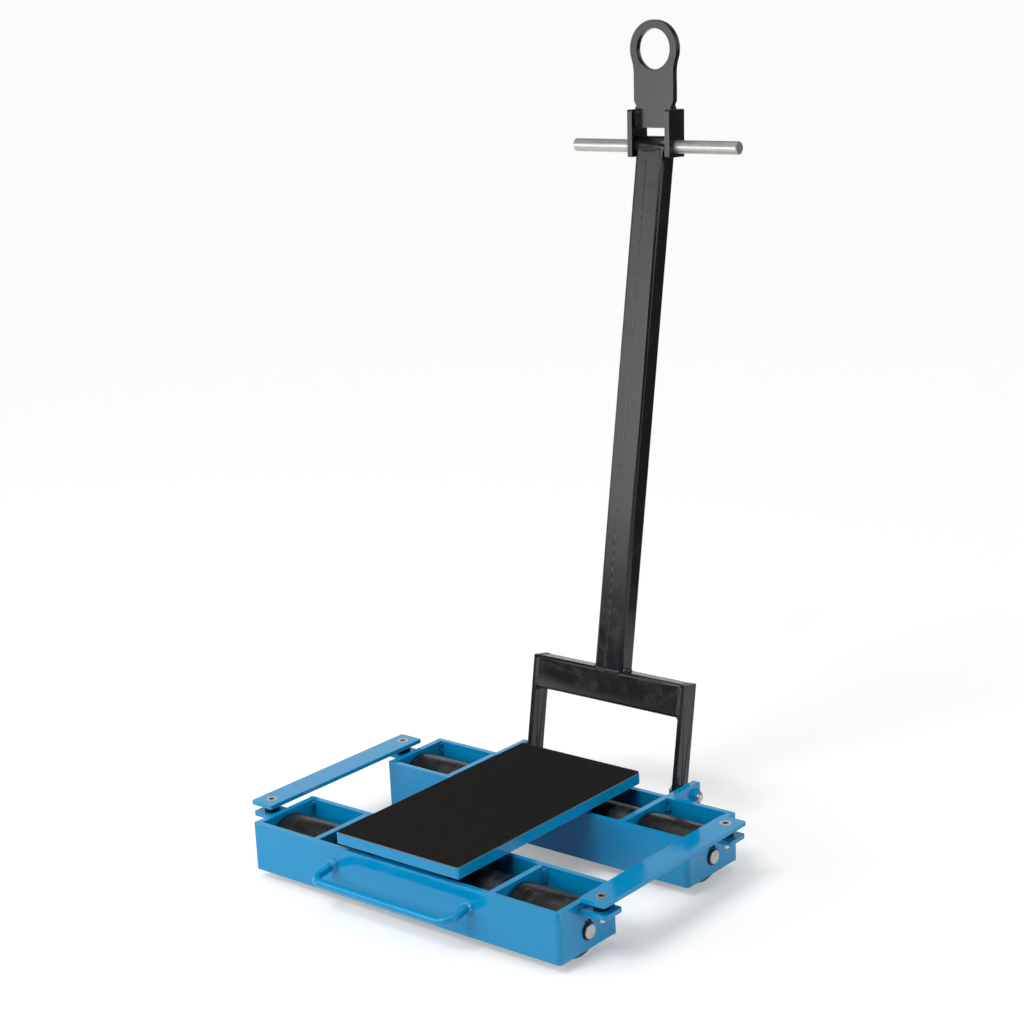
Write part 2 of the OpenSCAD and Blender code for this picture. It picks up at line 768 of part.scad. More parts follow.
// Rollers and their bearings, left to right
module rear_left_outer_roller() { at_box(-1) roller(-outer_roller_x); }
module rear_left_outer_bearings() { at_box(-1) bearings(-outer_roller_x); }
module rear_left_inner_roller() { at_box(-1) roller(-inner_roller_x); }
module rear_left_inner_bearings() { at_box(-1) bearings(-inner_roller_x); }
module rear_right_inner_roller() { at_box(-1) roller(inner_roller_x); }
module rear_right_inner_bearings() { at_box(-1) bearings(inner_roller_x); }
module rear_right_outer_roller() { at_box(-1) roller(outer_roller_x); }
module rear_right_outer_bearings() { at_box(-1) bearings(outer_roller_x); }
module front_left_outer_roller() { at_box(1) roller(-outer_roller_x); }
module front_left_outer_bearings() { at_box(1) bearings(-outer_roller_x); }
module front_left_inner_roller() { at_box(1) roller(-inner_roller_x); }
module front_left_inner_bearings() { at_box(1) bearings(-inner_roller_x); }
module front_right_inner_roller() { at_box(1) roller(inner_roller_x); }
module front_right_inner_bearings() { at_box(1) bearings(inner_roller_x); }
module front_right_outer_roller() { at_box(1) roller(outer_roller_x); }
module front_right_outer_bearings() { at_box(1) bearings(outer_roller_x); }

module left_tie_bar() { tie_bar(-1); }
module right_tie_bar() { tie_bar(1); }

load_plate();
rubber_pad();
pivot_pins();
pivot_rings();
rear_side_walls();
rear_end_plates();
rear_dividers();
rear_pivot_hub();
rear_pivot_bush();
rear_thrust_washer();
rear_tie_lugs();
rear_weld_nuts();
rear_axles();
rear_axle_rings();
rear_roller_washers();
rear_tie_screws();
rear_tie_spacers();
carry_handle();
front_side_walls();
front_end_plates();
front_dividers();
front_pivot_hub();
front_pivot_bush();
front_thrust_washer();
front_tie_lugs();
front_weld_nuts();
front_axles();
front_axle_rings();
front_roller_washers();
front_tie_screws();
front_tie_spacers();
drawbar_lugs();
drawbar_bolts();
drawbar_nuts();
drawbar_spacers();
rear_left_outer_roller();
rear_left_outer_bearings();
rear_left_inner_roller();
rear_left_inner_bearings();
rear_right_inner_roller();
rear_right_inner_bearings();
rear_right_outer_roller();
rear_right_outer_bearings();
front_left_outer_roller();
front_left_outer_bearings();
front_left_inner_roller();
front_left_inner_bearings();
front_right_inner_roller();
front_right_inner_bearings();
front_right_outer_roller();
front_right_outer_bearings();
left_tie_bar();
right_tie_bar();
yoke_beam();
yoke_legs();
drawbar_post();
handle_sleeve();
handle_bar();
head_cheeks();
towing_eye();
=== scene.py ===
"""Looks of a steerable machine skate: finishes, ribs, weld beads, threads, studio and camera."""

from __future__ import annotations

import logging
import math
from collections.abc import Mapping, Sequence
from dataclasses import dataclass
from enum import Enum, IntEnum
from itertools import product
from typing import Any

import bmesh
import bpy
from mathutils import Euler, Matrix, Vector, noise


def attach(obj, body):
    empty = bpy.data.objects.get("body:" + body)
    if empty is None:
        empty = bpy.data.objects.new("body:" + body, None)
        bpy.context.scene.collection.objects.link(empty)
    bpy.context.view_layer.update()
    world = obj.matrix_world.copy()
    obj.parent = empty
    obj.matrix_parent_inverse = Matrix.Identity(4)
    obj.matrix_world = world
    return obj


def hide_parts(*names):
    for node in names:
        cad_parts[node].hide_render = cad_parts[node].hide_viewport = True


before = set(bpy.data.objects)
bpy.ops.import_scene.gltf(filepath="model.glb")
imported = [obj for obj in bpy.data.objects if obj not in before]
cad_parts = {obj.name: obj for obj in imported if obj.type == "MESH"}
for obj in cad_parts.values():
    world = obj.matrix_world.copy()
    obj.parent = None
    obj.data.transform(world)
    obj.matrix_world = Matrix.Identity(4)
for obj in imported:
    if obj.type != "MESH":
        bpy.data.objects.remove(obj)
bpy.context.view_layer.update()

Pair = tuple[float, float]
Triple = tuple[float, float, float]

MM = 0.001
SIDES = (-1, 1)
SINK = 0.25 * MM  # how far a bead's foot goes into its plates
PLATE_R = 0.6 * MM  # radius of a bead's way past the corner of a plate
ARC_STEPS = 4  # steps on that way
WELD_GAP = 0.01 * MM  # vertices of a CAD node this close are one
EDGE_ANGLE = 0.6  # radians; sharper edges than this are broken
SMOOTH_ANGLE = math.radians(50)  # flatter edges than this look smooth

SMOOTH = {"interpolation_type": "SMOOTHSTEP"}
TIMES = {"operation": "MULTIPLY"}
CLAMPED_SUM = {"operation": "ADD", "use_clamp": True}
DOT = {"operation": "DOT_PRODUCT"}
COLOURS = {"data_type": "RGBA"}
SHARE, UNDER, OVER, MIXED = 0, 6, 7, 2  # inputs and output of a mix node between colours

log = logging.getLogger("machine_skate")


class Slot(Enum):
    """Material slots of the record."""

    BLUE = "blue_paint"
    BLACK = "black_paint"
    STEEL = "bright_steel"
    SPRING = "black_spring_steel"
    BRONZE = "bronze"
    NYLON = "nylon"
    RUBBER = "rubber"


class Kind(Enum):
    """Blender's types of shader node."""

    BACKGROUND = "ShaderNodeBackground"
    BEVEL = "ShaderNodeBevel"
    BUMP = "ShaderNodeBump"
    COORDINATES = "ShaderNodeTexCoord"
    GEOMETRY = "ShaderNodeNewGeometry"
    LIGHT_PATH = "ShaderNodeLightPath"
    MAPPING = "ShaderNodeMapping"
    MATH = "ShaderNodeMath"
    MIX = "ShaderNodeMix"
    NOISE = "ShaderNodeTexNoise"
    PRINCIPLED = "ShaderNodeBsdfPrincipled"
    RANGE = "ShaderNodeMapRange"
    SEPARATE = "ShaderNodeSeparateXYZ"
    SURFACE = "ShaderNodeOutputMaterial"
    VECTOR_MATH = "ShaderNodeVectorMath"
    WAVE = "ShaderNodeTexWave"
    WORLD = "ShaderNodeOutputWorld"


class BarAxis(Enum):
    """Direction in which a bar was drawn or turned, as a scale for its surface lines."""

    ACROSS = (6.0, 900.0, 900.0)
    UPRIGHT = (900.0, 900.0, 6.0)


class BeadForm(Enum):
    """Where a weld bead lies."""

    FILLET = "in the corner of two plates"
    FLUSH = "as a low strip over a butt seam"
    FILL = "as a round bead in a notch"


class Seed(IntEnum):
    """First seed of each group of beads; a box adds its own to the first three."""

    END_SEAMS = 40
    LUGS = 60
    WELD_NUTS = 70
    HANDLE = 200
    HINGE_LUGS = 220
    HINGE_NUTS = 230
    YOKE_CORNERS = 240
    YOKE_FACES = 250
    YOKE_TOPS = 260
    POST_SIDES = 270
    POST_FACES = 280
    SLEEVE = 290
    POST_SEAM = 300
    CHEEKS = 300  # the same number, for beads that are nothing like the seam
    SHOULDERS = 310


def linear(code: str) -> tuple[float, float, float, float]:
    """Turns an sRGB colour into linear light, by the standard's curve.

    Args:
        code: hex value such as "#0085b8".

    Returns:
        Red, green, blue and an alpha of 1.
    """
    shares = [int(code[i : i + 2], 16) / 255 for i in (1, 3, 5)]
    red, green, blue = (s / 12.92 if s <= 0.04045 else ((s + 0.055) / 1.055) ** 2.4 for s in shares)
    return red, green, blue, 1.0


def add_node(
    tree: bpy.types.NodeTree,
    kind: Kind,
    links: Mapping[str | int, Any] | None = None,
    settings: Mapping[str, Any] | None = None,
) -> bpy.types.Node:
    """Adds one shader node.

    Args:
        tree: the material's or world's nodes.
        kind: type of the node.
        links: inputs by name or number, each a value to set, or a socket or node to link; a node
            stands for its first output.
        settings: the node's own options.

    Returns:
        The new node.
    """
    node = tree.nodes.new(kind.value)
    for option, value in (settings or {}).items():
        setattr(node, option, value)
    for place, source in (links or {}).items():
        if isinstance(source, bpy.types.Node):
            source = source.outputs[0]
        if isinstance(source, bpy.types.NodeSocket):
            tree.links.new(source, node.inputs[place])
        else:
            node.inputs[place].default_value = source
    return node


@dataclass(frozen=True)
class Grain:
    """A noise pattern: size of its spots in mm, number of finer steps and their strength."""

    size_mm: float
    detail: float
    rough: float = 0.5

    def inputs(self) -> dict[str, float]:
        """Gives a noise node's inputs."""
        return {"Scale": 1 / (self.size_mm * MM), "Detail": self.detail, "Roughness": self.rough}


@dataclass(frozen=True)
class Ramp:
    """A span of a pattern's values, and the values at its two ends."""

    low: float = 0.0
    high: float = 1.0
    start: float = 0.0
    end: float = 1.0

    def inputs(self) -> dict[str, float]:
        """Gives a range node's inputs."""
        span = {"From Min": self.low, "From Max": self.high}
        return span | {"To Min": self.start, "To Max": self.end}


@dataclass(frozen=True)
class Finish:
    """A surface finish: makes its material on first use."""

    name: str
    slot: Slot

    def material(self) -> bpy.types.Material:
        """Gives the material of this finish.

        Returns:
            The one material that all pieces of this finish share.
        """
        made = bpy.data.materials.get(self.name)
        if made is None:
            made = bpy.data.materials.new(self.name)
            made.use_nodes = True
            tree = made.node_tree
            tree.nodes.clear()
            shader = add_node(tree, Kind.PRINCIPLED, self.paint(tree))
            add_node(tree, Kind.SURFACE, {"Surface": shader})
        return made

    def paint(self, tree: bpy.types.NodeTree) -> dict[str, Any]:
        """Adds the finish's nodes and gives what goes to each socket of the shader."""
        raise NotImplementedError


@dataclass(frozen=True)
class GlossEnamel(Finish):
    """Alkyd enamel sprayed on steel plate.

    It gives a clear gloss that wavers a little with the plate, soft smudges from hands and dust
    (dark patches of painted shade on the weld finish), and lighter lines on the edges, partly
    a thinner coat and partly a painted highlight.
    """

    base: str
    # colour of dust smudges; on the weld finish, dark patches of painted shade
    smudge_and_shade_colour: str
    # colour of the lighter edges: partly a thinner coat, partly a painted highlight
    edge: str
    roughness: float
    smudge_roughness: float
    smudge_and_shade_share: float = 0.06
    edge_share: float = 0.35
    ior: float = 1.5
    smudges: Grain = Grain(28.0, 5.0, 0.62)
    smeared: Ramp = Ramp(0.42, 0.72)
    edge_mm: float = 1.4
    edge_span: Pair = (0.985, 0.86)  # cosines where the lighter edge (thinner coat and painted highlight) starts and is full
    patchy: Ramp = Ramp(0.35, 0.65, 0.6)
    waves: Grain = Grain(45.0, 1.0)
    wave_mm: float = 0.15  # depth
    peel: Grain = Grain(4.0, 2.0)  # real orange peel is 1 to 2 mm; coarser here, so that it shows
    peel_mm: float = 0.012  # depth

    def paint(self, tree: bpy.types.NodeTree) -> dict[str, Any]:
        """Adds smudges, lighter edges, orange peel and the plate's waves.

        The smudges of the weld finish are dark patches of painted shade; the lighter edges are
        partly a thinner coat and partly a painted highlight.

        Args:
            tree: the material's nodes.

        Returns:
            What goes to the shader's sockets.
        """
        place = add_node(tree, Kind.COORDINATES).outputs["Object"]
        smudge, wave, peel = (
            add_node(tree, Kind.NOISE, {"Vector": place, **grain.inputs()})
            for grain in (self.smudges, self.waves, self.peel)
        )
        smudge_and_shade_mask = add_node(tree, Kind.RANGE, {"Value": smudge, **self.smeared.inputs()}, SMOOTH)
        share = add_node(tree, Kind.MATH, {0: smudge_and_shade_mask, 1: self.smudge_and_shade_share}, TIMES)
        coats = {SHARE: share, UNDER: linear(self.base), OVER: linear(self.smudge_and_shade_colour)}
        coat = add_node(tree, Kind.MIX, coats, COLOURS).outputs[MIXED]
        rounded = add_node(tree, Kind.BEVEL, {"Radius": self.edge_mm * MM}, {"samples": 4})
        flat = add_node(tree, Kind.GEOMETRY).outputs["Normal"]
        level = add_node(tree, Kind.VECTOR_MATH, {0: rounded, 1: flat}, DOT).outputs["Value"]
        # Edges lighten towards the edge colour: partly a thinner coat, partly a painted highlight
        # on the rounded edge.
        edge_wear_and_highlight = Ramp(*self.edge_span, end=self.edge_share)
        worn_and_highlighted = add_node(tree, Kind.RANGE, {"Value": level, **edge_wear_and_highlight.inputs()}, SMOOTH)
        patchy = add_node(tree, Kind.RANGE, {"Value": smudge, **self.patchy.inputs()})
        thin = add_node(tree, Kind.MATH, {0: worn_and_highlighted, 1: patchy}, TIMES)
        edged = {SHARE: thin, UNDER: coat, OVER: linear(self.edge)}
        dull = Ramp(start=self.roughness, end=self.smudge_roughness)
        plate = {"Strength": 1.0, "Distance": self.wave_mm * MM, "Height": wave}
        relief = {"Strength": 1.0, "Distance": self.peel_mm * MM, "Height": peel}
        relief["Normal"] = add_node(tree, Kind.BUMP, plate)
        return {
            "Base Color": add_node(tree, Kind.MIX, edged, COLOURS).outputs[MIXED],
            "Roughness": add_node(tree, Kind.RANGE, {"Value": smudge_and_shade_mask, **dull.inputs()}),
            "Normal": add_node(tree, Kind.BUMP, relief),
            "IOR": self.ior,
        }


@dataclass(frozen=True)
class DrawnSteel(Finish):
    """Bright cold-drawn steel bar.

    It gives a metal shine with fine lines along the bar, and a trace of dull oil film.
    """

    base: str = "#b9bab7"
    filmed: str = "#9b9c9a"
    roughness: float = 0.42
    axis: BarAxis = BarAxis.ACROSS
    film: Grain = Grain(18.0, 4.0)
    filmy: Ramp = Ramp(0.45, 0.8, end=0.6)
    line_span: Pair = (0.3, 0.7)
    line_gloss: Pair = (-0.06, 0.1)  # change of roughness over that span
    line_mm: float = 0.02  # depth

    def paint(self, tree: bpy.types.NodeTree) -> dict[str, Any]:
        """Adds drawing lines and the oil film.

        Args:
            tree: the material's nodes.

        Returns:
            What goes to the shader's sockets.
        """
        place = add_node(tree, Kind.COORDINATES).outputs["Object"]
        drawn = add_node(tree, Kind.MAPPING, {"Vector": place, "Scale": self.axis.value})
        lines = add_node(tree, Kind.NOISE, {"Vector": drawn, "Scale": 1.0, "Detail": 3.0})
        film = add_node(tree, Kind.NOISE, {"Vector": place, **self.film.inputs()})
        share = add_node(tree, Kind.RANGE, {"Value": film, **self.filmy.inputs()})
        colours = {SHARE: share, UNDER: linear(self.base), OVER: linear(self.filmed)}
        dull = Ramp(*self.line_span, *(self.roughness + change for change in self.line_gloss))
        relief = {"Strength": 0.5, "Distance": self.line_mm * MM, "Height": lines}
        return {
            "Base Color": add_node(tree, Kind.MIX, colours, COLOURS).outputs[MIXED],
            "Roughness": add_node(tree, Kind.RANGE, {"Value": lines, **dull.inputs()}),
            "Normal": add_node(tree, Kind.BUMP, relief),
            "Metallic": 1.0,
        }


@dataclass(frozen=True)
class SpringSteel(Finish):
    """Spring steel strip, stamped and blacked in hot oil.

    It gives a dark, slightly oily surface with a fine uneven grain.
    """

    base: str = "#17181a"
    grain: Grain = Grain(2.0, 3.0)
    dull: Ramp = Ramp(start=0.25, end=0.5)

    def paint(self, tree: bpy.types.NodeTree) -> dict[str, Any]:
        """Adds the uneven grain of the blacking.

        Args:
            tree: the material's nodes.

        Returns:
            What goes to the shader's sockets.
        """
        place = add_node(tree, Kind.COORDINATES).outputs["Object"]
        grain = add_node(tree, Kind.NOISE, {"Vector": place, **self.grain.inputs()})
        dull = add_node(tree, Kind.RANGE, {"Value": grain, **self.dull.inputs()})
        return {"Base Color": linear(self.base), "Roughness": dull, "Metallic": 0.5}


@dataclass(frozen=True)
class CastBronze(Finish):
    """Tin bronze bush stock, cast and turned.

    It gives a warm dull metal with darker patches.
    """

    base: str = "#b98f52"
    tarnish: str = "#6f5733"
    patches: Grain = Grain(9.0, 4.0)

    def paint(self, tree: bpy.types.NodeTree) -> dict[str, Any]:
        """Adds the tarnish.

        Args:
            tree: the material's nodes.

        Returns:
            What goes to the shader's sockets.
        """
        place = add_node(tree, Kind.COORDINATES).outputs["Object"]
        patch = add_node(tree, Kind.NOISE, {"Vector": place, **self.patches.inputs()})
        colours = {SHARE: patch, UNDER: linear(self.base), OVER: linear(self.tarnish)}
        colour = add_node(tree, Kind.MIX, colours, COLOURS).outputs[MIXED]
        return {"Base Color": colour, "Metallic": 1.0, "Roughness": 0.38}


@dataclass(frozen=True)
class TurnedNylon(Finish):
    """Black cast nylon, turned on a lathe and run on a workshop floor.

    It gives a dull satin black with fine rings round the roller, grey scuff bands and dust.
    """

    base: str = "#0d0e0f"
    scuffed: str = "#43464b"
    dusted: str = "#77797a"
    ring_mm: float = 1.6  # the lathe's feed is nearer 0.3 mm; coarser here, so that it shows
    wave_period: float = 0.314  # scale of a wave node at which its bands are 1 m apart
    band_mm: float = 7.0
    round_scale: float = 14.0  # of the bands round the roller, per metre
    scuffs: Ramp = Ramp(0.48, 0.78, end=0.5)
    dust: Grain = Grain(12.0, 8.0, 0.75)
    dusty: Ramp = Ramp(0.5, 0.78, end=0.3)
    dull: Ramp = Ramp(start=0.16, end=0.44)
    relief_mm: float = 0.06

    def paint(self, tree: bpy.types.NodeTree) -> dict[str, Any]:
        """Adds lathe rings, scuff bands round the roller and dust.

        Args:
            tree: the material's nodes.

        Returns:
            What goes to the shader's sockets.
        """
        place = add_node(tree, Kind.COORDINATES).outputs["Object"]
        feed = self.wave_period / (self.ring_mm * MM)
        rings = add_node(
            tree,
            Kind.WAVE,
            {"Vector": place, "Scale": feed, "Distortion": 0.4, "Detail": 1.0},
            {"bands_direction": "X", "wave_profile": "SIN"},
        )
        scale = (1 / (self.band_mm * MM), self.round_scale, self.round_scale)
        around_it = add_node(tree, Kind.MAPPING, {"Vector": place, "Scale": scale})
        streaks = {"Vector": around_it, "Scale": 1.0, "Detail": 5.0, "Roughness": 0.7}
        bands = add_node(tree, Kind.NOISE, streaks)
        specks = add_node(tree, Kind.NOISE, {"Vector": place, **self.dust.inputs()})
        colour: Any = linear(self.base)
        for pattern, ramp, over in (
            (bands, self.scuffs, self.scuffed),
            (specks, self.dusty, self.dusted),
        ):
            share = add_node(tree, Kind.RANGE, {"Value": pattern, **ramp.inputs()}, SMOOTH)
            layer = {SHARE: share, UNDER: colour, OVER: linear(over)}
            colour = add_node(tree, Kind.MIX, layer, COLOURS).outputs[MIXED]
        height = rings.outputs["Fac"]
        relief = {"Strength": 0.5, "Distance": self.relief_mm * MM, "Height": height}
        return {
            "Base Color": colour,
            "Roughness": add_node(tree, Kind.RANGE, {"Value": bands, **self.dull.inputs()}),
            "Normal": add_node(tree, Kind.BUMP, relief),
        }


@dataclass(frozen=True)
class RibbedRubber(Finish):
    """Black rubber matting, pressed with fine ribs and cut with a knife.

    It gives a matt near-black with dust specks, grooves between the ribs darkened with painted
    shade, and a browner cut edge under them.
    """

    base: str = "#1b1918"
    # near black that the grooves darken to: painted shade
    groove_shade: str = "#040404"
    cut_edge: str = "#6e6d6b"
    dusted: str = "#4a4643"
    sunk_mm: Pair = (-0.1, -0.7)  # heights between which a groove darkens to painted shade
    cut_mm: Pair = (-1.3, -1.6)  # heights between which the cut edge starts
    dust: Grain = Grain(3.0, 6.0, 0.7)
    dusty: Ramp = Ramp(0.5, 0.85, end=0.15)
    relief_mm: float = 0.08

    def paint(self, tree: bpy.types.NodeTree) -> dict[str, Any]:
        """Adds dust, painted shade in the grooves and the cut edge.

        Args:
            tree: the material's nodes.

        Returns:
            What goes to the shader's sockets.
        """
        place = add_node(tree, Kind.COORDINATES).outputs["Object"]
        height = add_node(tree, Kind.SEPARATE, {"Vector": place}).outputs["Z"]
        specks = add_node(tree, Kind.NOISE, {"Vector": place, **self.dust.inputs()})
        sunk, cut = (Ramp(*(z * MM for z in span)) for span in (self.sunk_mm, self.cut_mm))
        colour: Any = linear(self.base)
        for pattern, ramp, over in (
            (specks, self.dusty, self.dusted),
            # painted shade: the grooves turn near black with depth
            (height, sunk, self.groove_shade),
            (height, cut, self.cut_edge),
        ):
            share = add_node(tree, Kind.RANGE, {"Value": pattern, **ramp.inputs()})
            layer = {SHARE: share, UNDER: colour, OVER: linear(over)}
            colour = add_node(tree, Kind.MIX, layer, COLOURS).outputs[MIXED]
        relief = {"Strength": 0.6, "Distance": self.relief_mm * MM, "Height": specks}
        bumps = add_node(tree, Kind.BUMP, relief)
        return {"Base Color": colour, "Normal": bumps, "Roughness": 0.8, "IOR": 1.3}


@dataclass(frozen=True)
class StudioPaper(Finish):
    """Matt white studio paper, rolled out under the object.

    It gives a pale even ground that keeps the object's shadow.
    """

    base: str = "#e6e5e3"
    glow: float = 0.3

    def paint(self, tree: bpy.types.NodeTree) -> dict[str, Any]:
        """Lifts the paper to white where it is seen or mirrored.

        Args:
            tree: the material's nodes.

        Returns:
            What goes to the shader's sockets.
        """
        path = add_node(tree, Kind.LIGHT_PATH).outputs
        direct = {0: path["Is Camera Ray"], 1: path["Is Glossy Ray"]}
        seen = add_node(tree, Kind.MATH, direct, CLAMPED_SUM)
        shown = add_node(tree, Kind.MATH, {0: seen, 1: path["Is Transmission Ray"]}, CLAMPED_SUM)
        return {
            "Emission Strength": add_node(tree, Kind.MATH, {0: shown, 1: self.glow}, TIMES),
            "Emission Color": linear("#ffffff"),
            "Base Color": linear(self.base),
            "Roughness": 1.0,
            "Specular IOR Level": 0.0,
        }


@dataclass(frozen=True)
class FlagCloth(Finish):
    """Matt grey cloth of a studio flag.

    It gives the glossy pieces something darker than white paper to mirror.
    """

    grey: str

    def paint(self, tree: bpy.types.NodeTree) -> dict[str, Any]:
        """Gives the cloth's plain grey."""
        return {"Base Color": linear(self.grey), "Roughness": 1.0, "Specular IOR Level": 0.0}


BLUE_ENAMEL = GlossEnamel(
    "blue_gloss_enamel_on_steel",
    Slot.BLUE,
    base="#008cc2",
    smudge_and_shade_colour="#4f8da6",
    # lighter blue on the edges: partly a thinner coat, partly a painted highlight
    edge="#4fb0df",
    roughness=0.07,
    smudge_roughness=0.16,
    ior=1.42,
)
# Finish of the bay and lug welds: its dark smudge patches are painted shade for the hollows of the
# lumpy bead.
SHADE_PATCHED_ENAMEL = GlossEnamel(
    "blue_enamel_with_painted_shade_on_weld",
    Slot.BLUE,
    base="#0482b4",
    # dark patches of painted shade
    smudge_and_shade_colour="#101a20",
    # lighter blue on the edges: partly a thinner coat, partly a painted highlight
    edge="#2f8ab5",
    roughness=0.09,
    smudge_roughness=0.3,
    smudge_and_shade_share=0.75,
    smudges=Grain(11.0, 5.0, 0.62),
    ior=1.42,
)
BLACK_ENAMEL = GlossEnamel(
    "black_satin_enamel_on_steel",
    Slot.BLACK,
    base="#101116",
    smudge_and_shade_colour="#2c2e34",
    # light grey line along the edges: a painted highlight, partly a thinner coat
    edge="#777c85",
    roughness=0.2,
    smudge_roughness=0.32,
    edge_share=0.6,
    ior=1.45,
)
BRIGHT_BAR = DrawnSteel("bright_drawn_steel", Slot.STEEL)
BRIGHT_SCREW = DrawnSteel(
    "bright_zinc_plated_steel",
    Slot.STEEL,
    base="#dad6cf",
    filmed="#b5b0a6",
    roughness=0.24,
    axis=BarAxis.UPRIGHT,
)
BLACKED_STEEL = SpringSteel("oil_blacked_spring_steel", Slot.SPRING)
BRONZE = CastBronze("turned_tin_bronze", Slot.BRONZE)
NYLON = TurnedNylon("turned_black_nylon", Slot.NYLON)
RUBBER = RibbedRubber("ribbed_black_rubber", Slot.RUBBER)


def dress(node: str, finish: Finish, edge_mm: float = 0.8) -> None:
    """Gives a CAD node its finish and breaks its sharp edges.

    Args:
        node: name of the CAD node.
        finish: what it is finished with.
        edge_mm: width of the broken edges, 0 for none.
    """
    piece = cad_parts[node]
    for place in piece.material_slots:
        place.material = finish.material()
    if edge_mm:
        joined = piece.modifiers.new("joined corners", "WELD")
        joined.merge_threshold = WELD_GAP
        broken = piece.modifiers.new("broken edges", "BEVEL")
        broken.width = edge_mm * MM
        broken.segments = 2
        broken.limit_method = "ANGLE"
        broken.angle_limit = EDGE_ANGLE
        broken.harden_normals = True
    log.info("dressed %s with %s", node, finish.name)


def put(name: str, data: Any) -> bpy.types.Object:
    """Puts a new object in the scene.

    Args:
        name: the object's name.
        data: its mesh, lamp or camera.

    Returns:
        The object, at the origin.
    """
    thing = bpy.data.objects.new(name, data)
    bpy.context.scene.collection.objects.link(thing)
    return thing


def mesh_of(name: str, shape: bmesh.types.BMesh, finish: Finish) -> bpy.types.Mesh:
    """Turns finished faces into a mesh.

    Args:
        name: the mesh's name.
        shape: its faces; freed here.
        finish: what it is finished with.

    Returns:
        The mesh.
    """
    mesh = bpy.data.meshes.new(name)
    shape.to_mesh(mesh)
    shape.free()
    mesh.materials.append(finish.material())
    return mesh


def add_piece(name: str, shape: bmesh.types.BMesh, body: str, finish: Finish) -> bpy.types.Object:
    """Makes a piece of the scene from finished faces.

    Args:
        name: the piece's name.
        shape: its faces; freed here.
        body: the CAD body that it rides on.
        finish: what it is finished with.

    Returns:
        The new object.
    """
    bmesh.ops.recalc_face_normals(shape, faces=shape.faces)
    mesh = mesh_of(name, shape, finish)
    mesh.shade_smooth()
    mesh.set_sharp_from_angle(angle=SMOOTH_ANGLE)
    piece = put(name, mesh)
    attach(piece, body)
    log.info("made %s with %d faces on %s", name, len(mesh.polygons), body)
    return piece


def skin(
    shape: bmesh.types.BMesh,
    rings: Sequence[Sequence[Vector]],
    closed: bool = False,
    open_end: bool = False,
) -> None:
    """Adds the faces between rings of points.

    Args:
        shape: gets the faces.
        rings: equal rings, in order along the form.
        closed: whether the last ring joins the first; otherwise the ends are capped.
        open_end: whether the last ring stays without its cap.
    """
    rows = [[shape.verts.new(point) for point in ring] for ring in rings]
    count = len(rings[0])
    for here, there in zip(rows, rows[1:] + rows[:1] if closed else rows[1:]):
        for i in range(count):
            j = (i + 1) % count
            shape.faces.new((here[i], here[j], there[j], there[i]))
    if not closed:
        shape.faces.new(reversed(rows[0]))
        if not open_end:
            shape.faces.new(rows[-1])


@dataclass(frozen=True)
class Corner:
    """A point on a weld's root line, and the directions that its two plates run from it."""

    point: Vector
    first: Vector
    second: Vector

    def toward(self, other: Corner, share: float) -> Corner:
        """Gives the corner at a share of the way to the next one."""
        ways = (self.first.lerp(other.first, share), self.second.lerp(other.second, share))
        return Corner(self.point.lerp(other.point, share), *(way.normalized() for way in ways))

    def moved(self, place: Matrix) -> Corner:
        """Gives the corner in the row frame."""
        turn = place.to_3x3()
        return Corner(place @ self.point, turn @ self.first, turn @ self.second)


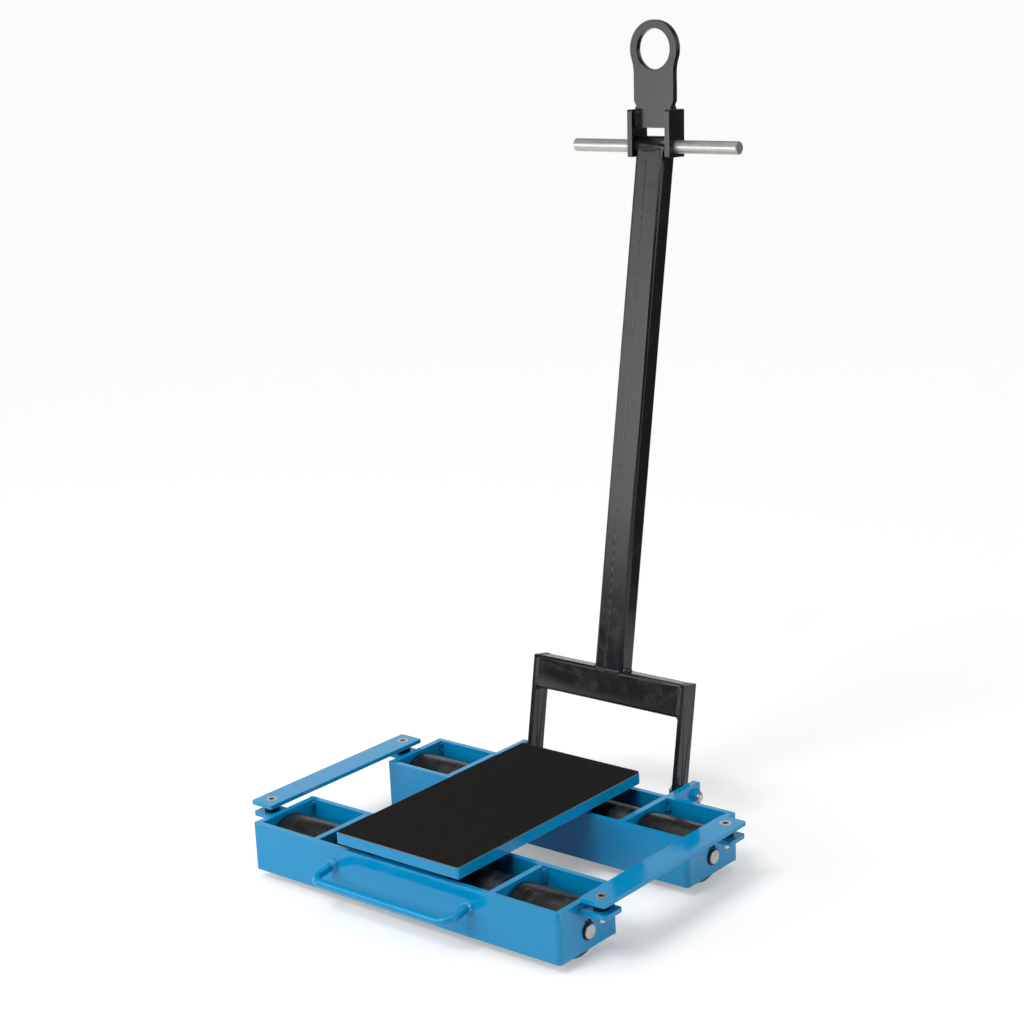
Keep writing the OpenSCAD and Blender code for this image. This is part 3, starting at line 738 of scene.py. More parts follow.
@dataclass(frozen=True)
class WeldBead:
    """A hand-laid weld bead with ripples, sizes in mm.

    Ripples of a real bead are 1 to 2 mm apart; they are drawn coarser, so that they show.
    """

    leg: float = 5.0
    rise: float = 0.5
    ripple: float = 2.6
    depth: float = 0.2
    wander: float = 0.1
    form: BeadForm = BeadForm.FILLET
    steps: int = 6
    turns: int = 7
    sway: float = 9.0  # length over which its size wanders
    stride: float = 7.3  # between the places of two seeds in the noise
    level: float = 0.5  # of the noise that the beads read
    least: int = 3  # ripples
    taper: float = 0.8  # length of its thinning ends, in legs
    tip: float = 0.3  # least share of its size at an end
    crown: float = 0.35  # how far a ripple runs ahead at the crown, in ripples
    bulge: float = 1.35  # of a fillet; 1 is a quarter circle

    def lay(
        self, shape: bmesh.types.BMesh, line: Sequence[Corner], seed: int, closed: bool = False
    ) -> None:
        """Lays the bead along a root line.

        Args:
            shape: gets the bead's faces.
            line: corners along the root line.
            seed: picks the bead's own unevenness.
            closed: whether the line runs back into its start.
        """
        stops = list(line) + ([line[0]] if closed else [])
        spans = [(b.point - a.point).length for a, b in zip(stops, stops[1:])]
        length = sum(spans)
        ripples = max(self.least, round(length / (self.ripple * MM)))
        count = ripples * self.steps
        rings = []
        for k in range(count if closed else count + 1):
            reach = length * k / count
            end = None if closed else min(reach, length - reach)
            corner = self.corner_at(stops, spans, reach)
            rings.append(self.ring(corner, reach, length / ripples, seed, end))
        skin(shape, rings, closed)

    @staticmethod
    def corner_at(stops: Sequence[Corner], spans: Sequence[float], reach: float) -> Corner:
        """Finds a place on the root line.

        Args:
            stops: corners along the line.
            spans: lengths between them.
            reach: length along the line.

        Returns:
            The corner there.
        """
        for i, span in enumerate(spans):
            if reach <= span or i == len(spans) - 1:
                break
            reach -= span
        return stops[i].toward(stops[i + 1], min(1.0, reach / span) if span else 0.0)

    def ring(
        self, corner: Corner, reach: float, pitch: float, seed: int, end: float | None
    ) -> list[Vector]:
        """Makes one cross-section.

        Args:
            corner: place on the root line.
            reach: length along the line, in metres.
            pitch: distance between ripples.
            seed: picks the bead's own unevenness.
            end: distance to the nearer end, or None for a line without ends.

        Returns:
            The points of the section.
        """
        swell = 1 + 2 * self.wander * noise.noise(
            Vector((seed * self.stride, reach / (self.sway * MM), self.level))
        )
        if end is not None:
            near = min(end / (self.taper * self.leg * MM), 1.0)
            swell *= max(self.tip, math.sqrt(1 - (1 - near) ** 2))
        points = []
        for i in range(self.turns + 1):
            turn = i / self.turns
            shift = self.crown * (1 - (2 * turn - 1) ** 2)
            wave = abs(math.cos(math.pi * (reach / pitch + shift)))
            size = self.leg * MM * swell * (1 - self.depth + self.depth * wave)
            first, second = self.outline(turn, size, swell * (0.5 + 0.5 * wave))
            points.append(corner.point + first * corner.first + second * corner.second)
        if self.form is BeadForm.FILL:
            return points[:-1]
        foot = self.leg * MM * swell
        points.insert(0, corner.point + foot * corner.first - SINK * corner.second)
        if self.form is BeadForm.FLUSH:
            points.append(corner.point - foot * corner.first - SINK * corner.second)
        else:
            points.append(corner.point + foot * corner.second - SINK * corner.first)
            points.append(corner.point - SINK * (corner.first + corner.second))
        return points

    def outline(self, turn: float, size: float, lift: float) -> Pair:
        """Gives a point of the cross-section.

        Args:
            turn: share of the way round the section.
            size: the bead's leg there, in metres.
            lift: share of its rise there, for a flush bead.

        Returns:
            Lengths along the corner's first and second directions.
        """
        if self.form is BeadForm.FILLET:
            angle = turn * math.pi / 2
            power = 2 / self.bulge
            return size * math.cos(angle) ** power, size * math.sin(angle) ** power
        if self.form is BeadForm.FLUSH:
            angle = turn * math.pi
            return size * math.cos(angle), self.rise * MM * lift * math.sin(angle)
        angle = turn * math.pi * 2
        return size * math.cos(angle), size * math.sin(angle)


StraightRun = tuple[WeldBead, int, Triple, Triple, Triple, Triple]


def lay_runs(place: Matrix, runs: Sequence[StraightRun]) -> bmesh.types.BMesh:
    """Lays straight beads.

    Args:
        place: frame that they are given in.
        runs: each bead, its seed, the two ends of its root line in mm, and the directions that
            its two plates run from it.

    Returns:
        The beads' faces in the row frame.
    """
    shape = bmesh.new()
    for bead, seed, start, end, first, second in runs:
        ends = (Corner(Vector(at) * MM, Vector(first), Vector(second)) for at in (start, end))
        bead.lay(shape, [corner.moved(place) for corner in ends], seed)
    return shape


def around(
    place: Matrix, outline: Sequence[Pair], closed: bool = True
) -> list[Corner]:
    """Gives the root line round a plate that stands on another.

    Args:
        place: its origin on the other plate, with Z out along the standing one.
        outline: corners in its X and Y, in metres, counter-clockwise.
        closed: whether the line runs all the way round.

    Returns:
        Corners whose first direction runs up the plate and whose second runs out from it.
    """
    points = [Vector((x, y, 0)) for x, y in outline]
    count = len(points)
    up = Vector((0, 0, 1))
    sides = [(points[(i + 1) % count] - points[i]).normalized() for i in range(count)]
    outs = [side.cross(up) for side in sides]
    line = []
    for i, point in enumerate(points):
        if not closed and i in (0, count - 1):
            out = outs[0] if i == 0 else outs[count - 2]
            line.append(Corner(point, up, out).moved(place))
            continue
        before, after = outs[i - 1], outs[i]
        middle = point - (before + after) * PLATE_R / (1 + before.dot(after))
        for k in range(ARC_STEPS + 1):
            out = before.lerp(after, k / ARC_STEPS).normalized()
            line.append(Corner(middle + PLATE_R * out, up, out).moved(place))
    return line


def around_bar(place: Matrix, radius: float, count: int = 24) -> list[Corner]:
    """Gives the root line round a bar that stands on a plate.

    Args:
        place: the bar's foot, with Z out along it.
        radius: the bar's radius, in metres.
        count: corners on the line.

    Returns:
        Corners whose first direction runs up the bar and whose second runs out from it.
    """
    line = []
    for k in range(count):
        angle = 2 * math.pi * k / count
        out = Vector((math.cos(angle), math.sin(angle), 0))
        line.append(Corner(radius * out, Vector((0, 0, 1)), out).moved(place))
    return line


def rectangle(width: float, height: float) -> list[Pair]:
    """Gives a rectangle's corners, counter-clockwise from the lower left."""
    w, h = width / 2, height / 2
    return [(-w, -h), (w, -h), (w, h), (-w, h)]


def facing(point: Sequence[float], out: Sequence[float], up: Triple = (0, 0, 1)) -> Matrix:
    """Gives a frame at a point, with Z out of a face and Y as near up as it can be.

    Args:
        point: the frame's origin, in metres.
        out: direction of its Z.
        up: direction that its Y leans to.

    Returns:
        The frame in the row frame.
    """
    z = Vector(out).normalized()
    x = Vector(up).cross(z).normalized()
    turn = Matrix((x, z.cross(x), z)).transposed()
    return Matrix.Translation(Vector(point)) @ turn.to_4x4()


@dataclass(frozen=True)
class ScrewThread:
    """A cut metric thread on the end of a screw or bolt, sizes in mm."""

    shank_d: float
    pitch: float
    length: float
    height: float = 0.28
    steps: int = 24
    root: float = 0.08  # how far the crest's foot goes into the shank
    foot_share: float = 0.42  # half the crest's foot, in pitches
    top_share: float = 0.15  # its flat top, as a share of the foot
    start: float = 0.2  # share of its height at the two ends
    run_in: float = 0.5  # turns in which it rises

    def cut(self, shape: bmesh.types.BMesh, place: Matrix) -> None:
        """Winds the thread's crest along Z of a frame.

        Args:
            shape: gets the crest's faces.
            place: its start on the shank's axis, with Z towards the tip.
        """
        winds = self.length / self.pitch
        count = int(winds * self.steps)
        inner = self.shank_d / 2 - self.root
        half = self.foot_share * self.pitch
        rings = []
        for k in range(count + 1):
            angle = 2 * math.pi * k / self.steps
            out = Vector((math.cos(angle), math.sin(angle), 0))
            run = min(k, count - k) / (self.steps * self.run_in)
            outer = inner + self.root + self.height * min(1.0, self.start + run)
            lift = Vector((0, 0, self.length * k / count))
            top = half * self.top_share
            section = ((inner, -half), (outer, -top), (outer, top), (inner, half))
            rings.append([place @ ((r * out + lift + Vector((0, 0, z))) * MM) for r, z in section])
        skin(shape, rings)


@dataclass
class LoadPlate:
    """Load plate with the ribbed rubber pad glued on it, sizes in mm."""

    pad_w: float = 218.0
    pad_l: float = 400.0
    pad_t: float = 3.0
    corner_r: float = 3.5
    ribs: int = 52  # the real ribs are about 3 mm apart; coarser here, so that they show
    rib_depth: float = 1.1
    half_rib: tuple[Pair, ...] = (  # shares of the pitch and of the depth
        (0.0, 1.0),
        (0.12, 0.85),
        (0.25, 0.28),
        (0.38, 0.06),
    )

    def build(self) -> None:
        """Makes the pad and dresses the plate and its pivots."""
        dress("load_plate", BLUE_ENAMEL, 1.0)
        dress("pivot_pins", BRIGHT_SCREW, 0.4)
        dress("pivot_rings", BLACKED_STEEL, 0.0)
        pad = add_piece("ribbed_pad", self.pad_shape(), "load_plate", RUBBER)
        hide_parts("rubber_pad")

    def pad_shape(self) -> bmesh.types.BMesh:
        """Makes the pad: ribs run along Y, with rounded tops and narrow grooves.

        Returns:
            The pad's faces.
        """
        rib = [*self.half_rib, (0.5, 0.0), *((1 - x, z) for x, z in self.half_rib[:0:-1])]
        pitch = self.pad_w / self.ribs
        stations = [
            (-self.pad_w / 2 + (number + share) * pitch, -self.rib_depth * drop)
            for number in range(self.ribs)
            for share, drop in rib
        ]
        stations.append((self.pad_w / 2, -self.rib_depth))
        rings = []
        for x, z in stations:
            past = max(0.0, abs(x) - (self.pad_w / 2 - self.corner_r))
            y = self.pad_l / 2 - self.corner_r + math.sqrt(max(0.0, self.corner_r**2 - past**2))
            corners = ((x, -y, z), (x, y, z), (x, y, -self.pad_t), (x, -y, -self.pad_t))
            rings.append([Vector(corner) * MM for corner in corners])
        shape = bmesh.new()
        skin(shape, rings)
        return shape


@dataclass
class RollerBox:
    """A welded roller box with its rollers, axles, tie lugs and screws, sizes in mm."""

    name: str
    centre_y: float
    seed: int
    end_x: float = 274.0
    wall_in_y: float = 51.0
    low_z: float = -96.0
    rim_z: float = -26.0
    bays: tuple[Pair, ...] = ((52.0, 153.0), (163.0, 264.0))
    bay_ends: Pair = (4.0, 2.5)  # from the beads' ends to the box's foot and rim
    seam_ends: Pair = (1.0, 1.0)
    lug_w: float = 36.0
    lug_z: float = -36.0
    lug_t: float = 6.0
    screw_x: float = 297.0
    screw_d: float = 8.0
    screw_pitch: float = 1.25
    nut_low_z: float = -45.5
    nut_w: float = 13.0
    tip_z: float = -52.0
    bare_tip: float = 1.2
    head_z: float = -15.5
    # dark lining in each screw's socket and round it on the head: painted shade
    socket_shade_profile: tuple[Pair, ...] = (  # radius and depth
        (2.4, 1.6),
        (2.7, 0.3),
        (3.3, -0.04),
        (3.9, -0.05),
        (4.2, 0.02),
    )

    def build(self) -> None:
        """Dresses the box and makes its welds, threads and the painted shade in its screws'
        sockets.
        """
        for node in ("side_walls", "end_plates", "dividers", "tie_lugs", "pivot_hub"):
            dress(f"{self.name}_{node}", BLUE_ENAMEL)
        for node, finish, edge_mm in (
            ("weld_nuts", BLUE_ENAMEL, 0.4),
            ("tie_spacers", BLACK_ENAMEL, 0.4),
            ("tie_screws", BRIGHT_SCREW, 0.25),
            ("axles", BRIGHT_BAR, 0.4),
            ("roller_washers", BRIGHT_BAR, 0.0),
            ("axle_rings", BLACKED_STEEL, 0.0),
            ("pivot_bush", BRONZE, 0.0),
            ("thrust_washer", BRONZE, 0.0),
        ):
            dress(f"{self.name}_{node}", finish, edge_mm)
        for side, place in product(("left", "right"), ("outer", "inner")):
            dress(f"{self.name}_{side}_{place}_roller", NYLON, 0.5)
            dress(f"{self.name}_{side}_{place}_bearings", BRIGHT_BAR, 0.0)
        for name, shape, finish in (
            # the bay and lug welds take the finish whose dark patches are painted shade
            ("bay_welds", self.bay_welds(), SHADE_PATCHED_ENAMEL),
            ("end_seams", self.end_seams(), BLUE_ENAMEL),
            ("lug_welds", self.lug_welds(), SHADE_PATCHED_ENAMEL),
            ("screw_threads", self.threads(), BRIGHT_SCREW),
            # dark lining of the screw sockets: painted shade
            ("screw_socket_shade", self.socket_shade(), BLACKED_STEEL),
        ):
            add_piece(f"{self.name}_{name}", shape, f"{self.name}_box", finish)

    def bay_welds(self) -> bmesh.types.BMesh:
        """Makes the beads in the upright corners of the bays.

        Returns:
            The beads' faces.
        """
        bead = WeldBead(leg=4.6, ripple=4.4, depth=0.14, wander=0.34)
        low, high = self.low_z + self.bay_ends[0], self.rim_z - self.bay_ends[1]
        runs: list[StraightRun] = []
        for side, bay, far, wall in product(SIDES, self.bays, (0, 1), SIDES):
            x, y = side * bay[far], self.centre_y + wall * self.wall_in_y
            into = (side * (1 - 2 * far), 0, 0)
            seed = self.seed + len(runs)
            runs.append((bead, seed, (x, y, low), (x, y, high), (0, -wall, 0), into))
        return lay_runs(Matrix(), runs)

    def end_seams(self) -> bmesh.types.BMesh:
        """Makes the ground seams between wall ends and end plates.

        Returns:
            The seams' faces.
        """
        seam = WeldBead(leg=2.6, rise=0.3, ripple=5.0, depth=0.05, form=BeadForm.FLUSH)
        low, high = self.low_z + self.seam_ends[0], self.rim_z - self.seam_ends[1]
        runs: list[StraightRun] = []
        for side, wall in product(SIDES, SIDES):
            x, y = side * self.end_x, self.centre_y + wall * self.wall_in_y
            seed = self.seed + Seed.END_SEAMS + 2 * side + wall
            runs.append((seam, seed, (x, y, low), (x, y, high), (0, 1, 0), (side, 0, 0)))
        return lay_runs(Matrix(), runs)

    def lug_welds(self) -> bmesh.types.BMesh:
        """Makes the beads round the tie lugs and round the nuts under them.

        Returns:
            The beads' faces.
        """
        shape = bmesh.new()
        bead = WeldBead(leg=4.8, ripple=4.2, depth=0.28, wander=0.28)
        tack = WeldBead(leg=2.4, ripple=2.2, wander=0.15)
        outline = rectangle(self.lug_w * MM, self.lug_t * MM)
        for side in SIDES:
            root = Vector((side * self.end_x, self.centre_y, self.lug_z)) * MM
            line = around(facing(root, (side, 0, 0)), outline)
            bead.lay(shape, line, self.seed + Seed.LUGS + side, closed=True)
            under = Vector((side * self.screw_x, self.centre_y, self.lug_z - self.lug_t / 2)) * MM
            ring = around_bar(facing(under, (0, 0, -1), (0, 1, 0)), self.nut_w / 2 * MM)
            tack.lay(shape, ring, self.seed + Seed.WELD_NUTS + side, closed=True)
        return shape

    def socket_shade(self) -> bmesh.types.BMesh:
        """Makes the dark lining of the screws' sockets, up onto the heads: painted shade for the
        deep sockets.

        Returns:
            The lining's faces.
        """
        shape = bmesh.new()
        for side in SIDES:
            centre = Vector((side * self.screw_x, self.centre_y, self.head_z)) * MM
            rings = []
            for reach, drop in self.socket_shade_profile:
                ring = around_bar(Matrix.Translation(centre), reach * MM)
                rings.append([corner.point - Vector((0, 0, drop * MM)) for corner in ring])
            skin(shape, rings, open_end=True)
        return shape

    def threads(self) -> bmesh.types.BMesh:
        """Makes the threads on the screw ends below the nuts.

        Returns:
            The threads' faces.
        """
        shape = bmesh.new()
        length = self.nut_low_z - self.tip_z - self.bare_tip
        thread = ScrewThread(self.screw_d, self.screw_pitch, length)
        for side in SIDES:
            start = Vector((side * self.screw_x, self.centre_y, self.nut_low_z)) * MM
            thread.cut(shape, facing(start, (0, 0, -1), (0, 1, 0)))
        return shape


@dataclass
class CarryHandle:
    """Bent round-bar handle welded to the rear box's outer wall, sizes in mm."""

    arm_x: float = 122.0
    wall_y: float = -199.0
    root_z: float = -54.0
    bar_d: float = 12.0

    def build(self) -> None:
        """Dresses the handle and makes the blobs of weld at its two roots."""
        dress("carry_handle", BLUE_ENAMEL, 0.0)
        shape = bmesh.new()
        bead = WeldBead(leg=5.5, ripple=4.2, depth=0.16, wander=0.22, turns=9)
        for side in SIDES:
            root = Vector((side * self.arm_x, self.wall_y, self.root_z)) * MM
            line = around_bar(facing(root, (0, -1, 0)), self.bar_d / 2 * MM)
            bead.lay(shape, line, Seed.HANDLE + side, closed=True)
        add_piece("carry_handle_welds", shape, "rear_box", BLUE_ENAMEL)


@dataclass
class DrawbarHinge:
    """Lugs on the front box with bolts, nuts and spacers, sizes in mm."""

    lug_x: float = 158.0
    lug_t: float = 10.0
    wall_y: float = 199.0
    top_z: float = -28.0
    low_z: float = -66.0
    hinge_y: float = 259.0
    hinge_z: float = -47.0
    nut_out_x: float = 169.0
    nut_in_x: float = 163.0
    nut_w: float = 18.0
    bolt_d: float = 12.0
    bolt_pitch: float = 1.75
    tip_x: float = 174.0
    bare_tip: float = 1.4
    thread_h: float = 0.35

    def build(self) -> None:
        """Dresses the hinge and makes its welds and threads."""
        dress("drawbar_lugs", BLUE_ENAMEL)
        dress("drawbar_nuts", BLUE_ENAMEL, 0.4)
        dress("drawbar_bolts", BRIGHT_BAR, 0.4)
        dress("drawbar_spacers", BRIGHT_BAR, 0.3)
        welds = bmesh.new()
        threads = bmesh.new()
        bead = WeldBead(leg=5.0)
        tack = WeldBead(leg=3.2, ripple=2.6, wander=0.15)
        length = self.tip_x - self.nut_out_x - self.bare_tip
        thread = ScrewThread(self.bolt_d, self.bolt_pitch, length, self.thread_h)
        w, h = self.lug_t / 2 * MM, (self.top_z - self.low_z) / 2 * MM
        outline = [(-w, h), (-w, -h), (w, -h), (w, h)]
        for side in SIDES:
            root = Vector((side * self.lug_x, self.wall_y, (self.top_z + self.low_z) / 2)) * MM
            line = around(facing(root, (0, 1, 0)), outline, closed=False)
            bead.lay(welds, line, Seed.HINGE_LUGS + side)
            nut = Vector((side * self.nut_in_x, self.hinge_y, self.hinge_z)) * MM
            ring = around_bar(facing(nut, (side, 0, 0)), self.nut_w / 2 * MM)
            tack.lay(welds, ring, Seed.HINGE_NUTS + side, closed=True)
            start = Vector((side * self.nut_out_x, self.hinge_y, self.hinge_z)) * MM
            thread.cut(threads, facing(start, (side, 0, 0)))
        add_piece("drawbar_lug_welds", welds, "front_box", BLUE_ENAMEL)
        add_piece("drawbar_bolt_threads", threads, "front_box", BRIGHT_BAR)


@dataclass
class Drawbar:
    """Yoke, post, sleeve and handle bar, sizes in mm along a leaning bar."""

    hinge: Triple = (0.0, 259.0, -47.0)
    lean: float = 11.0
    leg_in_x: float = 131.0
    beam_low: float = 110.0
    beam_top: float = 160.0
    half_depth: float = 15.0
    half_width: float = 25.0
    tube_r: float = 5.0
    bar_s: float = 927.0
    cope_s: float = 922.0
    seam_x: float = -5.5
    seam_ends: Pair = (4.0, 16.0)  # from the mill seam's ends to those of the post
    corner_end: float = 2.0  # from a bead's end to the face, under the beam
    top_end: float = 4.0  # the same on top of it
    round_in: float = 1.0  # how far the beads on its faces run into its rounding
    foot_end: float = 4.4  # from the ends of the beads at the post's sides to its faces
    foot_fill: Triple = (1.0, 3.9, 2.0)  # the beads at its front and back: inset, depth and sink
    cope_fill: Pair = (4.0, 1.2)  # the beads under the sleeve: inset and depth

    @property
    def place(self) -> Matrix:
        """The drawbar's own frame: X across, Y in depth, Z along the bar."""
        lean = Matrix.Rotation(math.radians(-self.lean), 4, "X")
        return Matrix.Translation(Vector(self.hinge) * MM) @ lean

    def build(self) -> None:
        """Dresses the drawbar and makes its welds."""
        for node in ("yoke_beam", "yoke_legs", "drawbar_post"):
            dress(node, BLACK_ENAMEL, 0.7)
        dress("handle_sleeve", BLACK_ENAMEL, 0.5)
        dress("handle_bar", BRIGHT_BAR, 0.0)
        for name, runs in (
            ("yoke_welds", self.yoke_welds()),
            ("post_welds", self.post_welds()),
            ("post_seam", self.post_seam()),
            ("sleeve_welds", self.sleeve_welds()),
        ):
            add_piece(name, lay_runs(self.place, runs), "drawbar", BLACK_ENAMEL)

    def yoke_welds(self) -> list[StraightRun]:
        """Lists the beads between the beam and the legs.

        Returns:
            The runs in the drawbar's frame.
        """
        under = WeldBead(leg=5.0)
        seam = WeldBead(leg=3.4, rise=0.7, ripple=2.8, form=BeadForm.FLUSH)
        y, low, top = self.half_depth, self.beam_low, self.beam_top
        foot, head = low + self.tube_r - self.round_in, top - self.tube_r + self.round_in
        under_y, top_y = y - self.corner_end, y - self.top_end
        runs: list[StraightRun] = []
        for side in SIDES:
            x = side * self.leg_in_x
            seed, ways = Seed.YOKE_CORNERS + side, ((-side, 0, 0), (0, 0, -1))
            runs.append((under, seed, (x, -under_y, low), (x, under_y, low), *ways))
            for face in SIDES:
                seed, out = Seed.YOKE_FACES + 3 * side + face, (0, face, 0)
                runs.append((seam, seed, (x, face * y, foot), (x, face * y, head), (1, 0, 0), out))
            seed = Seed.YOKE_TOPS + side
            runs.append((seam, seed, (x, -top_y, top), (x, top_y, top), (1, 0, 0), (0, 0, 1)))
        return runs

    def post_welds(self) -> list[StraightRun]:
        """Lists the beads at the post's foot.

        Returns:
            The runs in the drawbar's frame.
        """
        fillet = WeldBead(leg=5.0)
        fill = WeldBead(leg=4.6, ripple=3.0, depth=0.09, form=BeadForm.FILL, turns=12)
        inset, depth, sink = self.foot_fill
        reach, low = self.half_depth - self.foot_end, self.beam_top
        wide, sunk = self.half_width - inset, self.beam_top - sink
        runs: list[StraightRun] = []
        for side in SIDES:
            x, y = side * self.half_width, side * (self.half_depth - depth)
            seed, out = Seed.POST_SIDES + side, (side, 0, 0)
            runs.append((fillet, seed, (x, -reach, low), (x, reach, low), (0, 0, 1), out))
            seed, out = Seed.POST_FACES + side, (0, side, 0)
            runs.append((fill, seed, (-wide, y, sunk), (wide, y, sunk), out, (0, 0, 1)))
        return runs

    def post_seam(self) -> list[StraightRun]:
        """Lists the low seam that the tube mill leaves along the post's front.

        Returns:
            The run in the drawbar's frame.
        """
        flush = BeadForm.FLUSH
        seam = WeldBead(2.2, rise=0.5, ripple=16.0, depth=0.02, wander=0.06, form=flush, turns=8)
        foot, mouth = self.beam_top + self.seam_ends[0], self.cope_s - self.seam_ends[1]
        x, y = self.seam_x, -self.half_depth
        return [(seam, Seed.POST_SEAM, (x, y, foot), (x, y, mouth), (1, 0, 0), (0, -1, 0))]

    def sleeve_welds(self) -> list[StraightRun]:
        """Lists the beads between the post's mouth and the sleeve.

        Returns:
            The runs in the drawbar's frame.
        """
        form = BeadForm.FILL
        fill = WeldBead(leg=3.7, ripple=5.0, depth=0.28, wander=0.25, form=form, turns=10)
        x, z = self.half_width - self.cope_fill[0], self.cope_s
        runs: list[StraightRun] = []
        for side in SIDES:
            y = side * (self.half_depth - self.cope_fill[1])
            seed, out = Seed.SLEEVE + side, (0, side, 0)
            runs.append((fill, seed, (-x, y, z), (x, y, z), out, (0, 0, 1)))
        return runs


@dataclass
class TowingHead:
    """Cheeks on the handle bar and the eye plate welded between them, sizes in mm."""

    drawbar: Drawbar
    tilt: float = 2.0
    cheek_in_x: float = 29.0
    tongue_low: float = 26.5
    cheek_top: float = 53.0
    half_t: float = 5.0
    shoulder: Pair = (6.0, 12.0)  # slope of the eye plate's shoulder
    face_end: float = 1.0  # from the top of the beads at the cheeks to the cheeks' top
    edge_end: float = 0.5  # from the ends of the shoulders' beads to the eye plate's faces

    def build(self) -> None:
        """Dresses the head and makes its welds."""
        for node in ("head_cheeks", "towing_eye"):
            dress(node, BLACK_ENAMEL, 0.7)
        along = Matrix.Translation((0, 0, self.drawbar.bar_s * MM))
        tilt = Matrix.Rotation(math.radians(self.drawbar.lean - self.tilt), 4, "X")
        bead = WeldBead(leg=6.5, ripple=4.4, depth=0.3, wander=0.22)
        slope = Vector((self.shoulder[0], 0, self.shoulder[1])).normalized()
        low, top = self.tongue_low, self.cheek_top
        near, high = self.half_t - self.edge_end, top - self.face_end
        runs: list[StraightRun] = []
        for side in SIDES:
            x = side * self.cheek_in_x
            for face in SIDES:
                y, seed = face * self.half_t, Seed.CHEEKS + 3 * side + face
                ways = (-side, 0, 0), (0, face, 0)
                runs.append((bead, seed, (x, y, low), (x, y, high), *ways))
            ways = (side * slope.x, 0, slope.z), (side, 0, 0)
            runs.append((bead, Seed.SHOULDERS + side, (x, -near, top), (x, near, top), *ways))
        shape = lay_runs(self.drawbar.place @ along @ tilt, runs)
        add_piece("head_welds", shape, "towing_head", BLACK_ENAMEL)


@dataclass
class TieBars:
    """The two flat bars that tie the boxes together."""

    def build(self) -> None:
        """Dresses the bars."""
        for side in ("left", "right"):
            dress(f"{side}_tie_bar", BLUE_ENAMEL, 0.7)


@dataclass(frozen=True)
class Softbox:
    """A large soft lamp, sizes and places in metres."""

    name: str
    place: Triple
    target: Triple
    width: float
    height: float
    level: float  # light on a facing surface at the target; 1 renders a colour as written

    def light(self) -> None:
        """Hangs the lamp."""
        lamp = bpy.data.lights.new(self.name, "AREA")
        lamp.shape = "RECTANGLE"
        lamp.size, lamp.size_y = self.width, self.height
        away = Vector(self.target) - Vector(self.place)
        lamp.energy = self.level * math.pi**2 * away.length_squared
        holder = put(self.name, lamp)
        holder.location = self.place
        holder.rotation_euler = away.to_track_quat("-Z", "Y").to_euler()
        holder.visible_camera = False


@dataclass(frozen=True)
class Diffuser:
    """A far overhead or side diffuser, as wide as it looks from the object."""

    name: str
    source: Triple  # direction that its light comes from
    level: float  # light on a facing surface; 1 renders a colour as written
    spread: float  # degrees across

    def light(self) -> None:
        """Hangs the lamp."""
        lamp = bpy.data.lights.new(self.name, "SUN")
        lamp.angle = math.radians(self.spread)
        lamp.energy = self.level * math.pi
        away = -Vector(self.source)
        put(self.name, lamp).rotation_euler = away.to_track_quat("-Z", "Y").to_euler()


@dataclass(frozen=True)
class Flag:
    """Grey cloth on a stand, facing the object, which only the object's gloss shows; in metres."""

    name: str
    place: Triple
    width: float
    height: float
    grey: str

    def stand(self) -> None:
        """Stands the flag."""
        shape = bmesh.new()
        place = facing(self.place, -Vector(self.place[:2]).to_3d())
        corners = rectangle(self.width, self.height)
        shape.faces.new([shape.verts.new(place @ Vector((x, y, 0))) for x, y in corners])
        finish = FlagCloth(f"matt_cloth_of_{self.name}", Slot.RUBBER, self.grey)
        cloth = put(self.name, mesh_of(self.name, shape, finish))
        cloth.visible_camera = cloth.visible_diffuse = cloth.visible_shadow = False


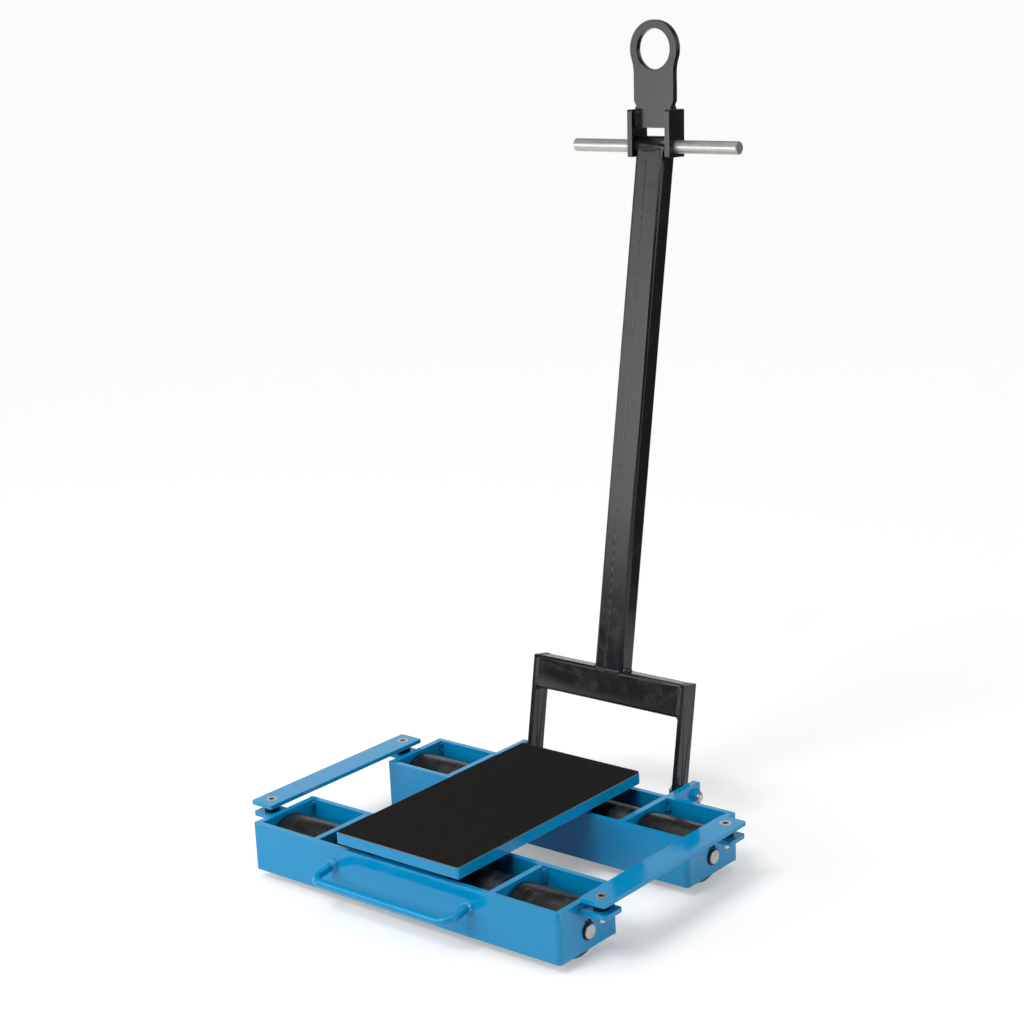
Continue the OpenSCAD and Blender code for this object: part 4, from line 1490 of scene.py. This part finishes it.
@dataclass
class Studio:
    """Plain pale floor, a pale wall far behind and plain soft light, in metres."""

    floor_z: float = -0.110
    floor_r: float = 400.0
    floor_sides: int = 96
    room: float = 0.07  # strength of the dim room; 1 is white
    wall: float = 1.0
    wall_from: Triple = (-0.64, 0.77, 0.0)
    wall_top: Pair = (0.46, 0.36)  # heights between which the wall fades in
    wall_side: Pair = (-0.2, 0.5)  # the same for its sides
    diffusers: tuple[Diffuser, ...] = (
        Diffuser("overhead_diffuser", (-0.05, 0.03, 1.0), 0.28, 60.0),
        Diffuser("front_key_diffuser", (-0.08, -0.58, 0.8), 0.35, 22.0),
        Diffuser("right_diffuser", (0.9, 0.2, 0.32), 0.33, 40.0),
        Diffuser("small_front_lamp", (0.2, -0.6, 0.75), 0.05, 4.0),
    )
    softboxes: tuple[Softbox, ...] = (
        Softbox("front_left_softbox", (-1.5, -1.35, 0.9), (0.0, 0.4, 0.7), 1.2, 1.2, 0.21),
        Softbox("front_softbox", (-0.85, -2.2, 0.85), (0.0, 0.4, 0.6), 1.3, 0.8, 0.22),
    )
    flags: tuple[Flag, ...] = (
        Flag("grey_flag", (0.63, 1.0, 0.42), 1.3, 1.06, "#5c5c5c"),
        Flag("low_flag", (-1.18, -1.17, 0.1), 1.9, 0.42, "#303030"),
    )

    def build(self) -> None:
        """Lays the floor and sets the light."""
        self.lay_floor()
        for flag in self.flags:
            flag.stand()
        self.paint_room()
        for lamp in (*self.diffusers, *self.softboxes):
            lamp.light()
            log.info("hung %s", lamp.name)

    def lay_floor(self) -> None:
        """Lays the paper under the object."""
        shape = bmesh.new()
        place = Matrix.Translation((0, 0, self.floor_z))
        bmesh.ops.create_circle(
            shape, cap_ends=True, segments=self.floor_sides, radius=self.floor_r, matrix=place
        )
        paper = StudioPaper("matt_white_studio_paper", Slot.RUBBER)
        put("studio_floor", mesh_of("studio_floor", shape, paper))

    def paint_room(self) -> None:
        """Makes the dim room with its pale wall behind the object."""
        world = bpy.data.worlds.new("plain_studio_room")
        world.use_nodes = True
        tree = world.node_tree
        tree.nodes.clear()
        way = add_node(tree, Kind.COORDINATES).outputs["Generated"]
        height = add_node(tree, Kind.SEPARATE, {"Vector": way}).outputs["Z"]
        along = add_node(tree, Kind.VECTOR_MATH, {0: way, 1: self.wall_from}, DOT)
        low, behind = (
            add_node(tree, Kind.RANGE, {"Value": value, **Ramp(*span).inputs()}, SMOOTH)
            for value, span in ((height, self.wall_top), (along.outputs["Value"], self.wall_side))
        )
        share = add_node(tree, Kind.MATH, {0: low, 1: behind}, TIMES)
        light = Ramp(start=self.room, end=self.wall)
        strength = add_node(tree, Kind.RANGE, {"Value": share, **light.inputs()})
        white = {"Color": linear("#ffffff"), "Strength": strength}
        add_node(tree, Kind.WORLD, {"Surface": add_node(tree, Kind.BACKGROUND, white)})
        bpy.context.scene.world = world


@dataclass
class StudioCamera:
    """Camera at the photograph's viewing angle, in metres and degrees."""

    place: Triple = (1.8553079, -2.1238901, 1.1386842)
    turn: Triple = (75.5611, 2.7022, 39.4751)
    lens: float = 75.885
    sensor: float = 36.0
    sight: float = 500.0

    def build(self) -> None:
        """Sets the scene's camera."""
        view = bpy.data.cameras.new("photo_view")
        view.sensor_fit = "HORIZONTAL"
        view.sensor_width = self.sensor
        view.lens = self.lens
        view.clip_end = self.sight
        holder = put("photo_view", view)
        holder.location = self.place
        holder.rotation_euler = Euler([math.radians(angle) for angle in self.turn], "XYZ")
        bpy.context.scene.camera = holder


def main() -> None:
    """Builds the studio and every sub-assembly, in order."""
    logging.basicConfig(level=logging.INFO, format="%(name)s: %(message)s")
    bpy.context.scene.view_settings.view_transform = "Standard"
    drawbar = Drawbar()
    for part in (
        StudioCamera(),
        Studio(),
        LoadPlate(),
        RollerBox("rear", -140.0, seed=1),
        RollerBox("front", 140.0, seed=101),
        CarryHandle(),
        DrawbarHinge(),
        TieBars(),
        drawbar,
        TowingHead(drawbar),
    ):
        part.build()
        log.info("built %s", type(part).__name__)


if __name__ == "__main__":
    main()
